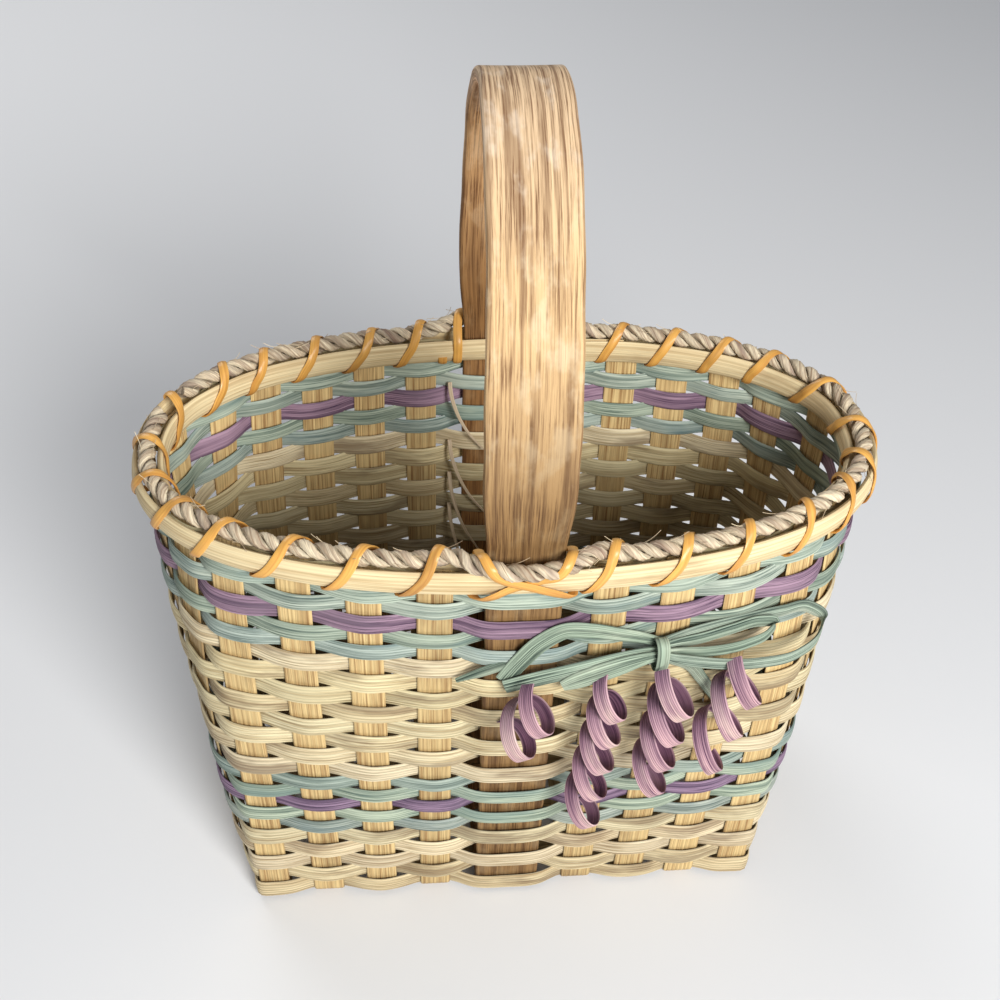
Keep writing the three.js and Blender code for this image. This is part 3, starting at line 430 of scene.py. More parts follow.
def stake_wall(number, fold_z):
    """Route up a wall from the fold, with the way across the strip: rows of point and direction."""
    rows = []
    for turn in np.linspace(math.pi / 2, 0, 5):
        height = fold_z + FOLD_RADIUS * (1 - math.sin(turn))
        inward = -FOLD_RADIUS * (1 - math.cos(turn))
        rows.append(wall(number, 0.0, inward, height))
    rows += [wall(number, 0.0, 0.0, z) for z in np.linspace(fold_z + 2.2 * FOLD_RADIUS, stake_top, 22)]
    points = np.array(rows)
    return np.hstack([points, upright_run(number, points[:, 2])])


def on_back(outline):
    """1 at the corners on the back of a strip and 0 on its face."""
    return np.clip(-outline[:, 1] / 0.0002, 0, 1)


def inside_painted_shade(outline, height):
    """Painted shade by ring and corner of a strip whose back is inside the basket: its inside faces are
    darkened towards the bottom, where the inside lies in shade, and made a little lighter near the rim.
    """
    inside = on_back(outline)[None, :, None]
    depth = np.clip((INSIDE_SHADE_BELOW - height) / INSIDE_SHADE_OVER, 0, 1)[:, None, None]
    return 1 + inside * (0.08 - 0.48 * depth)


def stake(name, first, second, fold_z, base_points, grain_start):
    down = stake_wall(first, fold_z)[::-1]
    rise = stake_wall(second, fold_z)
    rise[:, 3:] *= -1
    across = down[-1, 3:]
    in_base = np.array([[*point, *across] for point in base_points]).reshape(-1, 6)
    route = smooth_route(np.vstack([down, in_base, rise]), spacing=0.0022)
    route[:, 2] = np.maximum(route[:, 2], under_z)
    # Painted shade: the grooves between the ribs, and the inside faces low in the basket, are darkened
    tone = rib_groove_shade(STAKE_RIBS, 0.22) * np.array([1, 0.99, 0.97]) * dice.uniform(0.9, 1.03)
    return strip(name, route[:, :3], route[:, 3:], stake_outline, grain_start,
                 tone * inside_painted_shade(stake_outline, route[:, 2]))


crosswise = [*range(-STAKES_BESIDE_LEG, 0), *range(1, STAKES_BESIDE_LEG + 1)]
for i, number in enumerate(crosswise):
    node = f"crosswise_stake_{i + 1}"
    x = wall(number, 0.0, 0.0, 0.0)[0]
    straight = [(x, y, base_stake_z) for y in np.linspace(-BASE_DEPTH * 0.4, BASE_DEPTH * 0.4, 9)]
    piece = stake(f"{node}_reed", number, HALF - number, base_stake_z, straight, 1.7 * i)
    dress(piece, stake_reed, "stake_reed", node)


def lengthwise_crossings(odd):
    """Where a lengthwise stake lies across the base: under the handle, and over or under each stake."""
    points = [(0.0, LEG_WIDTH / 2, under_z)]
    for index in range(1, STAKES_BESIDE_LEG + 1):
        x = LEG_TO_STAKE + (index - 1) * PITCH_AT_BASE
        z = over_z if (index + odd) % 2 else under_z
        points += [(x, STAKE_WIDTH / 2, z), (-x, STAKE_WIDTH / 2, z)]
    return sorted(points)


for i in range(END_STAKES):
    node = f"lengthwise_stake_{i + 1}"
    row = i - END_STAKES // 2
    odd = abs(row) % 2
    y = row * END_PITCH_AT_BASE
    crossed = []
    for x, half, z in lengthwise_crossings(odd):
        crossed += [(x - half, y, z), (x, y, z), (x + half, y, z)]
    right = QUARTER + row
    fold_z = over_z if odd else under_z
    piece = stake(f"{node}_reed", UPRIGHTS - right, right, fold_z, crossed, 20 + 1.7 * i)
    dress(piece, stake_reed, "stake_reed", node)


# Handle
# A hoop of ash or oak, steamed and bent, and shaved by hand. It runs across the base, up inside the
# weave at front and back, and over as the grip. The rim clamps it where its legs are thinned.
LEG_THICKNESS = 0.005
NOTCH_THICKNESS = 0.003
NOTCH_FADE = 0.014
GRIP_WIDTH = 0.0385
APEX_WIDTH = 0.036
GRIP_THICKNESS = 0.0065
STRAIGHT_RISE = 0.040
SEAGRASS_DIAMETER = 0.0074
SEAGRASS_LIFT = SEAGRASS_DIAMETER / 2 + 0.0005
HANDLE_EDGE_RADIUS = 0.0016
PALER_ABOVE = 0.39
PALER_OVER = 0.04
# The handle is darkened with painted shade below this height, deepening over this much further down
HANDLE_SHADE_BELOW = 0.365
HANDLE_SHADE_OVER = 0.075
BASE_CORNER = 0.004
BASE_END_GAP = 0.0006
last_row_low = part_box("weaver_23_green")[0].z
last_row_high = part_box("weaver_23_green")[1].z
notch_end = rim_top + SEAGRASS_LIFT + SEAGRASS_DIAMETER / 2 + 0.001
handle_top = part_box("handle")[1].z
leg_knots = ((last_row_low, LEG_THICKNESS), (last_row_high, NOTCH_THICKNESS), (notch_end, NOTCH_THICKNESS),
             (notch_end + NOTCH_FADE, GRIP_THICKNESS))


def leg_thickness(height):
    return np.interp(height, [z for z, _ in leg_knots], [t for _, t in leg_knots])


def handle_leg(number, side):
    """Rows of point, width and thickness from the middle of the base up to the arch."""
    low = STAKE_THICKNESS + CLEARANCE + LEG_THICKNESS / 2
    rows = [(0.0, side * y, low, LEG_WIDTH, LEG_THICKNESS)
            for y in np.linspace(BASE_END_GAP / 2, BASE_DEPTH / 2 - 2 * BASE_CORNER, 10)]
    for turn in np.linspace(0.15, math.pi / 2 - 0.1, 4):
        _, y, _ = wall(number, 0.0, -BASE_CORNER * (1 - math.sin(turn)), low)
        rows.append((0.0, y, low + BASE_CORNER * (1 - math.cos(turn)), LEG_WIDTH, LEG_THICKNESS))
    heights = [*np.linspace(low + 1.6 * BASE_CORNER, last_row_low - 0.004, 18), last_row_low, last_row_high,
               notch_end, notch_end + NOTCH_FADE / 2, notch_end + NOTCH_FADE, rim_top + STRAIGHT_RISE]
    for z in heights:
        _, y, _ = wall(number, 0.0, 0.0, min(z, rim_top))
        raised = np.clip((z - rim_top) / STRAIGHT_RISE, 0, 1)
        raised = raised * raised * (3 - 2 * raised)
        rows.append((0.0, y, z, LEG_WIDTH + (GRIP_WIDTH - LEG_WIDTH) * raised, float(leg_thickness(z))))
    return rows


def handle_route():
    arch = []
    spring = rim_top + STRAIGHT_RISE
    rise = handle_top - GRIP_THICKNESS / 2 - rim_top - STRAIGHT_RISE
    for angle in np.linspace(0, math.pi, 26)[1:-1]:
        width = GRIP_WIDTH + (APEX_WIDTH - GRIP_WIDTH) * math.sin(angle) ** 2
        arch.append((0.0, -RIM_DEPTH / 2 * math.cos(angle), spring + rise * math.sin(angle),
                     width, GRIP_THICKNESS))
    return smooth_route(handle_leg(0, -1) + arch + handle_leg(HALF, 1)[::-1], spacing=0.002)


def shaved_profile(width, thickness, left, right, hollow):
    """Rounded rectangle whose long edges wander and whose outer face is shaved a little hollow or round."""
    corners = []
    radius = min(HANDLE_EDGE_RADIUS, 0.45 * thickness)
    for sign_x, sign_z, start in ((1, 1, 0), (-1, 1, 90), (-1, -1, 180), (1, -1, 270)):
        wander = right if sign_x > 0 else left
        for step in range(5):
            angle = math.radians(start + 22.5 * step)
            corners.append((sign_x * (width / 2 - radius) + wander + radius * math.cos(angle),
                            sign_z * (thickness / 2 - radius) + radius * math.sin(angle)))
        if sign_x == sign_z:
            for x in np.linspace(sign_x, -sign_x, 14)[1:-1]:
                corners.append((x * (width / 2 - radius), sign_z * (thickness / 2 + hollow * (1 - x * x))))
    return corners


route = handle_route()
steps = np.arange(len(route))
left = 0.0002 * np.sin(steps * 0.11 + 2) + 0.00012 * np.sin(steps * 0.37)
right = 0.0002 * np.sin(steps * 0.13) + 0.00012 * np.sin(steps * 0.31 + 1)
hollow = 0.00018 * np.sin(steps * 0.19 + 0.5) + 0.00012 * np.sin(steps * 0.53)
handle_sizes = zip(route[:, 3], route[:, 4], left, right, hollow)
handle_profiles = np.array([shaved_profile(*sizes) for sizes in handle_sizes])

# The inner face is redder, the top is painted paler and greyer, and the wood towards the rim and below it
# is darkened with painted shade.
inner_face = np.clip(-handle_profiles[:, :, 1] / 0.0012, 0, 1)[:, :, None]
top_share = np.clip((route[:, 2] - PALER_ABOVE) / PALER_OVER, 0, 1)[:, None, None]
shaded_share = np.clip((HANDLE_SHADE_BELOW - route[:, 2]) / HANDLE_SHADE_OVER, 0, 1)[:, None, None]
handle_tone = np.ones((len(route), handle_profiles.shape[1], 3))
for share, tone in (
    (inner_face, (1.08, 0.94, 0.84)),
    (top_share, (1.16, 1.24, 1.50)),
    (shaded_share, (0.41, 0.35, 0.26)),
):
    handle_tone = handle_tone * (1 - share * (1 - np.array(tone)))
handle_across = np.tile([-1.0, 0, 0], (len(route), 1))
handle = strip("handle_hoop", route[:, :3], handle_across, handle_profiles, 40, handle_tone)
handle_wood = reed_material("handle_wood", pale=(217, 181, 132), deep=(104, 66, 34),
                            stain=(234, 214, 180), streaks=0.9, bands=0.7, stains=0.35,
                            across=1450.0, along=34.0, bump=0.7, blots=(40.0, 85.0))
dress(handle, handle_wood, "handle_wood", "handle")


# Weaving rows
# Flat-oval reed, natural or dyed, woven one row at a time over and under the uprights. The strip is
# stiff, so it bows out over each upright and slants through the gaps between them. The ends of each
# row lap over each other inside an upright.
WEAVER_THICKNESS = 0.0017
WEAVER_SWELL = 0.0006
BOW_OVER_STAKE = 0.0009
BOW_OVER_LEG = 0.0012
WEAVER_RIBS = 6
WEAVER_START = -0.004
# The end of a row: how far along its upright, and how much further off it than the start
WEAVER_END = ((-0.0058, 0.0010), (-0.003, 0.0019), (0.0065, 0.0019))
natural_reed = reed_material("natural_reed", pale=(238, 222, 182), deep=(158, 130, 88),
                             stain=(122, 98, 72), streaks=0.85, bands=0.55, stains=0.6, across=1150.0)
green_reed = reed_material("green_reed", pale=(189, 199, 182), deep=(80, 100, 92), stain=(112, 136, 136),
                           streaks=0.9, bands=0.65, stains=0.55, across=1100.0)
purple_reed = reed_material("purple_reed", pale=(166, 137, 158), deep=(62, 38, 68), stain=(116, 99, 116),
                            streaks=1.0, bands=0.7, stains=0.5, across=1100.0)


def is_leg(number):
    return number % HALF == 0


def edge_shift(number):
    return (LEG_WIDTH if is_leg(number) else STAKE_WIDTH) / 2 + CLEARANCE


def weaver(name, row, low, high, grain_start, tone):
    """A row from one upright once round to the same one, where its end laps inside its start."""
    seam = 1 + 2 * (row % 3) + (1 if row % 2 == 0 else 0)
    rows = []
    for number in range(seam, seam + UPRIGHTS + 1):
        outside = 1 if (row + number) % 2 else -1
        bow = (BOW_OVER_LEG if is_leg(number) else BOW_OVER_STAKE) * dice.uniform(0.6, 1.4)
        lift = dice.normal(0, 0.00022)
        # How far along the wall, and how much further off the upright
        stops = [(-edge_shift(number), 0.0), (0.0, bow), (edge_shift(number), 0.0)]
        if number == seam:
            stops = [(WEAVER_START, 0.0), (edge_shift(number), 0.0)]
        if number == seam + UPRIGHTS:
            stops = WEAVER_END
        for shift, extra in stops:
            ends = []
            for z in (low - WEAVER_SWELL, high + WEAVER_SWELL):
                thickness = leg_thickness(z) if is_leg(number) else STAKE_THICKNESS
                reach = thickness / 2 + CLEARANCE / 2 + WEAVER_THICKNESS / 2 + extra
                ends.append(wall(number, shift, outside * reach, z + lift))
            rows.append(np.concatenate([(ends[0] + ends[1]) / 2, ends[1] - ends[0]]))
    route = smooth_route(rows, spacing=0.0026)
    outline = reed_profile(high - low + 2 * WEAVER_SWELL, WEAVER_THICKNESS,
                           crown=0.00045, ribs=WEAVER_RIBS, rib_depth=0.00026)
    steps = np.arange(len(route)) + 7 * row
    wander = 1 + 0.035 * np.sin(0.11 * steps) + 0.025 * np.sin(0.29 * steps + row)
    profiles = outline * np.stack([wander, np.ones(len(route))], axis=1)[:, None, :]
    # Painted shade: the grooves between the ribs, and the inside faces low in the basket, are darkened
    return strip(name, route[:, :3], route[:, 3:], profiles, grain_start,
                 rib_groove_shade(WEAVER_RIBS, 0.32) * tone * inside_painted_shade(outline, route[:, 2]))


weaver_nodes = sorted(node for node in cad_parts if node.startswith("weaver_"))
weaver_looks = {
    "natural": (natural_reed, "natural_weaver"),
    "rim": (natural_reed, "natural_weaver"),
    "green": (green_reed, "green_weaver"),
    "purple": (purple_reed, "purple_weaver"),
}
for node in weaver_nodes:
    row = int(node.split("_")[1])
    low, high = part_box(node)
    light = dice.uniform(0.86, 1.03)
    tone = [light * dice.uniform(*spread) for spread in ((0.94, 1.02), (0.97, 1.0), (0.90, 1.03))]
    piece = weaver(f"{node}_reed", row, low.z, high.z, 60 + 3.1 * row, tone)
    material, slot = weaver_looks[node.split("_")[-1]]
    dress(piece, material, slot, node)


# Rim reeds
# Two flat-oval reeds clamp the wall, one outside and one inside. The ends of each are shaved on a slant
# and overlap.
RIM_THICKNESS = 0.0038
RIM_OFFSET = 0.004
RIM_RIBS = 6
# Places round the rim are counted in uprights. This much before and after a whole number is an upright.
ON_UPRIGHT = 0.3
rim_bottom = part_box("outer_rim")[0].z
rim_reed = reed_material("rim_reed", pale=(236, 216, 170), deep=(178, 146, 98), stain=(150, 120, 84),
                         streaks=0.7, bands=0.55, stains=0.4, across=1200.0, along=12.0)


def rim_hoop(name, side, scarf_after, grain_start):
    """The reed starts at one upright, goes once round and laps on to the next one."""
    middle_z = (rim_bottom + rim_top) / 2
    offset = side * (RIM_OFFSET + RIM_THICKNESS / 2)
    stops = [(0, 0), (0, 1)]
    stops += [(turned, edge) for turned in range(1, UPRIGHTS + 1) for edge in (-1, 1)]
    stops += [(UPRIGHTS + 1, -1), (UPRIGHTS + 1, 0)]
    rows = []
    for turned, edge in stops:
        number = scarf_after + turned
        point = wall(number, edge * edge_shift(number), offset, middle_z)
        rows.append([*point, 0, 0, 1, turned + edge * ON_UPRIGHT])
    route = smooth_route(rows, spacing=0.003)
    outline = reed_profile(rim_top - rim_bottom, RIM_THICKNESS,
                           crown=0.0014, ribs=RIM_RIBS, rib_depth=0.00012)
    profiles = []
    for place in route[:, 6]:
        shaved = outline.copy()
        if place < 1:
            shaved[:, 1] = -RIM_THICKNESS / 2 + (shaved[:, 1] + RIM_THICKNESS / 2) * (0.05 + 0.88 * place)
        if place > UPRIGHTS:
            share = 0.92 - 0.88 * (place - UPRIGHTS)
            shaved[:, 1] = RIM_THICKNESS / 2 - (RIM_THICKNESS / 2 - shaved[:, 1]) * share
        profiles.append(shaved * [1, side])
    # Painted shade in the grooves between the ribs
    groove_shade = rib_groove_shade(RIM_RIBS, 0.14)
    return strip(name, route[:, :3], route[:, 3:6], np.array(profiles), grain_start, groove_shade)


for node, side, scarf_after, grain_start in (("outer_rim", 1, 18, 150), ("inner_rim", -1, 12, 160)):
    hoop = rim_hoop(f"{node}_reed", side, scarf_after, grain_start)
    dress(hoop, rim_reed, "rim_reed", node)


# Seagrass filler
# A two-ply seagrass rope laid on top between the rim reeds. It rises to pass outside each leg of the
# handle. Its plies are loosely spun blades, some of which have frayed.
ROPE_SEAM = 20
ROPE_TWIST = 0.0168
PLY_RADIUS = 0.0021
PLY_WIDTH = 0.0048
PLY_THICKNESS = 0.0040
PLY_SPIN = 0.013
BESIDE_LEG = 0.02075
ROPE_OUT_AT_LEG = 0.006
ROPE_LIFT = 0.0018
ROPE_LIFT_AT_LEG = 0.0045
FIBRE_ROOT = 0.0036
FIBRE_SHORTEST = 0.004
FIBRE_LONGEST = 0.010
seagrass = reed_material("seagrass", pale=(233, 217, 184), deep=(150, 120, 94), stain=(120, 90, 84),
                         streaks=0.9, bands=0.6, stains=0.6, across=900.0, along=22.0, bump=0.6)


def rope_route():
    """Round the top of the wall, by the two edges of each upright, and outside the legs."""
    numbers = range(ROPE_SEAM, ROPE_SEAM + UPRIGHTS + 1)
    stops = [(number, edge) for number in numbers for edge in (-1, 1)][1:-1]
    rows = []
    for number, edge in stops:
        at_leg = is_leg(number)
        shift = BESIDE_LEG if at_leg else edge_shift(number)
        x, y, _ = wall(number, edge * shift, ROPE_OUT_AT_LEG if at_leg else 0.0, rim_top)
        rows.append([x, y, rim_top + (ROPE_LIFT_AT_LEG if at_leg or is_leg(number + edge) else ROPE_LIFT)])
    return smooth_route(rows, spacing=0.0015)


rope = rope_route()
rope_run = run_of(rope)
rope_out = unit(np.cross(rope_run, [0, 0, 1.0]))


def ply(name, turned, grain_start):
    """One of the two plies that wind round each other, spun from blades that show as ridges."""
    raised = np.cross(rope_out, rope_run)
    travelled = distance_along(rope)
    angle = 2 * math.pi * travelled / ROPE_TWIST + turned
    radial = rope_out * np.sin(angle)[:, None] + raised * np.cos(angle)[:, None]
    swell = 1 + 0.09 * np.sin(travelled * 210 + turned) + 0.05 * np.sin(travelled * 530 + 2 * turned)
    around = np.linspace(0, 2 * math.pi, 27)[:-1]
    spin = (-2 * math.pi * travelled / PLY_SPIN)[:, None]
    ridges = 1 + 0.07 * np.cos(6 * (around + spin)) + 0.04 * np.cos(11 * (around + 0.7 * spin) + 1)
    profiles = np.stack([PLY_THICKNESS / 2 * np.cos(around) * ridges,
                         PLY_WIDTH / 2 * np.sin(around) * ridges], axis=2)
    # Painted shade: the grooves between the blades are darker
    tone = 1 - 0.24 * (ridges < 1)[:, :, None] * np.array([1, 1, 0.9])
    tone = tone * (1 + 0.10 * np.sin(travelled * 61 + turned))[:, None, None]
    # Painted shade: each ply is darkened on its side towards the other ply, where the two press together
    tone = tone * (0.35 + 0.65 * np.clip(0.75 + 0.6 * np.cos(around), 0, 1))[:, None]
    profiles = profiles * swell[:, None, None]
    return strip(name, rope + radial * PLY_RADIUS, radial, profiles, grain_start, tone)


def fray(name, count):
    """Loose fibres that stand off the rope, as one piece."""
    thin = np.array([(0.00013, 0.0), (-0.00007, 0.00011), (-0.00007, -0.00011)])
    pale = (1.0, 0.97, 0.92)
    t = np.linspace(0, 1, 7)[:, None]
    fibres = []
    for number in range(count):
        i = dice.integers(4, len(rope) - 4)
        angle = dice.uniform(-1.3, 1.9)
        radial = rope_out[i] * math.sin(angle) + np.array([0, 0, math.cos(angle)])
        length = dice.uniform(FIBRE_SHORTEST, FIBRE_LONGEST)
        away = rope_run[i] * dice.choice([-1, 1])
        bend = dice.uniform(0.25, 0.6)
        route = rope[i] + radial * FIBRE_ROOT + away * length * t + radial * length * bend * t**1.7
        across = np.tile(np.cross(away, radial), (len(t), 1))
        fibres.append(strip(f"{name}_{number}", route, across, thin, 176 + 0.01 * number, pale))
    for fibre in fibres:
        fibre.select_set(True)
    bpy.ops.object.join()
    joined = bpy.context.object
    joined.name = name
    return joined


for name, turned, grain_start in (("seagrass_ply_a", 0.0, 170), ("seagrass_ply_b", math.pi, 172)):
    dress(ply(name, turned, grain_start), seagrass, "seagrass", "seagrass_filler")
dress(fray("seagrass_fray", 90), seagrass, "seagrass", "seagrass_filler")


# Lashing
# Glossy cane in two lengths, with its rounded skin outward. Each starts with its half of the cross over
# a leg of the handle, winds round half of the rim, and ends tucked up inside at the other leg.
CANE_WIDTH = 0.0044
CANE_THICKNESS = 0.0012
WRAPS = HALF - 1
CROWN_RISE = 2.3
WRAP_REACH = 8.4
WRAP_MIDDLE = 9.3
WRAP_RISE = 10.3
cane_outline = reed_profile(CANE_WIDTH, CANE_THICKNESS, crown=0.00055, ribs=4, rib_depth=0.00002)
cane_skin = reed_material("cane", pale=(228, 172, 84), deep=(180, 116, 46), stain=(128, 84, 40),
                          streaks=0.5, bands=0.5, stains=0.5, across=900.0, along=10.0, bump=0.15)
cane_shader = cane_skin.node_tree.nodes["Principled BSDF"]
cane_shader.inputs["Coat Weight"].default_value = 0.5
cane_shader.inputs["Coat Roughness"].default_value = 0.28

# A wrap round the rim: uprights past the crown, then mm out from the rim's middle and up from its foot
WRAP = ((0.5, 0.0, -1.0), (0.46, -6.5, -0.7), (0.40, -7.9, 1.2), (0.28, -8.4, 6.4), (0.17, -7.9, 11.4),
        (0.10, -6.0, 14.9), (0.04, -2.8, 18.2), (0.0, 0.0, 18.9), (-0.04, 2.8, 18.2), (-0.10, 6.0, 14.9),
        (-0.17, 7.9, 11.4), (-0.28, 8.4, 6.4), (-0.40, 7.9, 1.2), (-0.46, 6.5, -0.7))
# Over the rope beside the leg and slanting down across the leg: mm along, out and up
CROSS = ((-20.0, -8.4, 6.4), (-20.0, -8.2, 12.0), (-20.0, -4.6, 16.4), (-19.8, 0.0, 19.2),
         (-19.3, 3.2, 21.6), (-18.4, 6.2, 22.5), (-17.2, 9.0, 21.6), (-15.6, 11.4, 19.6),
         (-13.6, 12.1, 16.8), (-10.8, 11.8, 14.2), (-6.0, 11.1, 11.2), (0.0, 10.3, 8.3),
         (8.0, 10.2, 5.0), (15.0, 9.9, 2.0), (19.0, 9.0, 0.0))
# The second strand passes this far under the first, near the middle of the leg, and leaves for the wraps
CROSS_UNDER = 1.3
CROSS_MEETING = 9
CROSS_END = (-22.3, 6.3, -0.7)
# Under the rim beside the leg, and up inside at the end of the cane: mm out and up
CROSS_SLOT = 20.27
UNDER_RIM = ((6.0, -0.9), (0.0, -1.0), (-6.0, -0.9), (-8.3, 1.0))
TUCK_SLOT = 27.67
TUCK = ((0.0, -1.0), (-6.0, -0.9), (-8.2, 0.6), (-8.3, 4.0))


def cane_row(point, run, offset, rise):
    """Point, and the way that the cane's skin faces there, away from the middle of the rim."""
    out = np.array([run[1], -run[0]])
    facing_out = np.sign(offset) * abs(offset / WRAP_REACH) ** 3
    facing_up = np.sign(rise - WRAP_MIDDLE) * abs((rise - WRAP_MIDDLE) / WRAP_RISE) ** 3
    return [*point[:2], rim_bottom + rise / 1000, *(out * facing_out), facing_up]


def rim_place(place, offset, rise):
    """Row at a place counted in uprights, on one of them or in the gap between two."""
    height = min(rim_bottom + rise / 1000, rim_top)
    number = round(place)
    part = place - number
    if abs(part) <= ON_UPRIGHT:
        point = wall(number, part / ON_UPRIGHT * edge_shift(number), offset / 1000, height)
        run = upright_run(number, height)
    else:
        side = 1 if part > 0 else -1
        share = (abs(part) - ON_UPRIGHT) / (1 - 2 * ON_UPRIGHT)
        near = wall(number, side * edge_shift(number), offset / 1000, height)
        far = wall(number + side, -side * edge_shift(number + side), offset / 1000, height)
        point = near * (1 - share) + far * share
        run = unit(far - near) * side
    return cane_row(point, run, offset, rise)


def leg_place(leg, shift, offset, rise):
    """Row at a place counted in mm from the middle of a leg."""
    point = wall(leg, shift / 1000, offset / 1000, min(rim_bottom + rise / 1000, rim_top))
    return cane_row(point, upright_run(leg, rim_top), offset, rise)


def lashing(name, leg, grain_start):
    rows = [leg_place(leg, *stop) for stop in CROSS]
    rows += [leg_place(leg, CROSS_SLOT, *stop) for stop in UNDER_RIM]
    for shift, offset, rise in CROSS:
        under = CROSS_UNDER if abs(shift) < CROSS_MEETING else 0.0
        rows.append(leg_place(leg, -shift, offset - under, rise))
    rows.append(leg_place(leg, *CROSS_END))
    for i in range(1, WRAPS + 1):
        crown = CROWN_RISE if i in (1, WRAPS) else 0.0
        wander = dice.uniform(-0.05, 0.05)
        for stop, offset, rise in WRAP:
            raised = crown * np.clip((rise - 11.4) / 7.5, 0, 1)
            slid = wander * np.clip((rise + 1) / 10, 0, 1)
            rows.append(rim_place(leg - i + stop + slid, offset, rise + raised))
    rows += [leg_place(leg - HALF, TUCK_SLOT, *stop) for stop in TUCK]
    route = smooth_route(rows, spacing=0.0016)
    run = run_of(route[:, :3])
    across = np.cross(unit(route[:, 3:6]), run)
    # Painted shade: the cane is darkened where it passes under the foot of the rim
    shaded_share = np.clip((rim_bottom + 0.006 - route[:, 2]) / 0.008, 0, 1)[:, None, None]
    tone = 1 - shaded_share * (1 - np.array([0.72, 0.62, 0.55]))
    return strip(name, route[:, :3], across, cane_outline, grain_start, tone)


for node, leg, grain_start in (("lashing_left", 0, 180), ("lashing_right", HALF, 190)):
    dress(lashing(f"{node}_cane", leg, grain_start), cane_skin, "lashing_cane", node)


# Bow
# Thin dyed ribbon of split reed, tied on the front. Two loops stand to the right of the knot, and two
# leaves, a broad leaf and two tails lie on the weave. A narrow strap holds them where they are gathered.
KNOT_X = 0.062
KNOT_Z = 0.2005
KNOT_HEIGHT = 0.019
KNOT_DEPTH = 0.010
STRAP_WIDTH = 0.0060
STRAP_THICKNESS = 0.0010
STRAP_RIBS = 7
STRAP_INSET = 0.0006
STRAP_LAP = 0.0005
STRAP_OFF_WALL = 0.0034
RIBBON_THICKNESS = 0.0009
RIBBON_LYING = 0.00335
ON_LEG = 1.9
LAYER = 1.3
RIBBON_RIBS = 9
CUPPING = 0.0012
GATHERED_RINGS = 14
GATHERED_BY = 0.35
GATHER_FOLDS = 2.5
GATHER_DEPTH = 0.0011
bow_ribbon = reed_material("bow_ribbon", pale=(180, 195, 174), deep=(32, 56, 48), stain=(216, 220, 198),
                           streaks=1.0, bands=0.75, stains=0.5, across=1150.0, along=14.0)


def front_place(x, z, standing):
    """Points in front of the weave and the way out, by where they lie across and up."""
    numbers = np.repeat(np.arange(-6, 7), 2)
    sides = np.tile([-1, 1], len(numbers) // 2)
    shifts = np.array([side * edge_shift(number) for number, side in zip(numbers, sides)])
    stations = wall(numbers, shifts, 0.0, z)
    y = np.interp(x, stations[:, 0], stations[:, 1])
    reach = 0.004
    behind, ahead = np.interp([x - reach, x + reach], stations[:, 0], stations[:, 1])
    out = unit(np.array([ahead - behind, -2 * reach, 0.0]))
    return np.array([x, y, z]) + out * standing, out


def widened(outline, widths):
    """An outline of width 1 and of a thickness in mm, given each of the widths in metres."""
    return outline / [1, 1000] * np.stack([widths, np.ones(len(widths))], axis=1)[:, None, :]


def ribbon(name, points, widths, stands, grain_start, tone, gathered):
    """Ribbed ribbon by its place across, its height and how far out it is, all in mm from the knot. It
    stands on its edge or lies flat, and is gathered where its first (0) or last (1) end is tied."""
    rows = []
    for (x, z, standing), width in zip(points, widths):
        place, out = front_place(KNOT_X + x / 1000, KNOT_Z + z / 1000, RIBBON_LYING + standing / 1000)
        rows.append([*place, *out, width / 1000])
    route = smooth_route(rows, spacing=0.0012)
    run = run_of(route[:, :3])
    flat = unit(np.cross([0, 0, 1.0], run)) if stands else unit(route[:, 3:6])
    across = np.cross(flat, run)
    outline = reed_profile(1.0, RIBBON_THICKNESS * 1000, crown=0.1, ribs=RIBBON_RIBS, rib_depth=0.16)
    profiles = widened(outline, route[:, 6])
    cup = 0.55 * (1 - (2 * outline[:, 0]) ** 2)
    profiles[:, :, 1] += (cup - 0.3) * CUPPING
    folds = np.cos(GATHER_FOLDS * 2 * math.pi * outline[:, 0])
    for end in gathered:
        near = np.linspace(1 - end, end, GATHERED_RINGS)[:, None] ** 2
        part = slice(-GATHERED_RINGS, None) if end else slice(GATHERED_RINGS)
        profiles[part, :, 0] *= 1 - GATHERED_BY * near
        profiles[part, :, 1] += GATHER_DEPTH * near * folds
    # Painted shade in the grooves between the ribs
    return strip(name, route[:, :3], across, profiles, grain_start, rib_groove_shade(RIBBON_RIBS, 0.5) * tone)


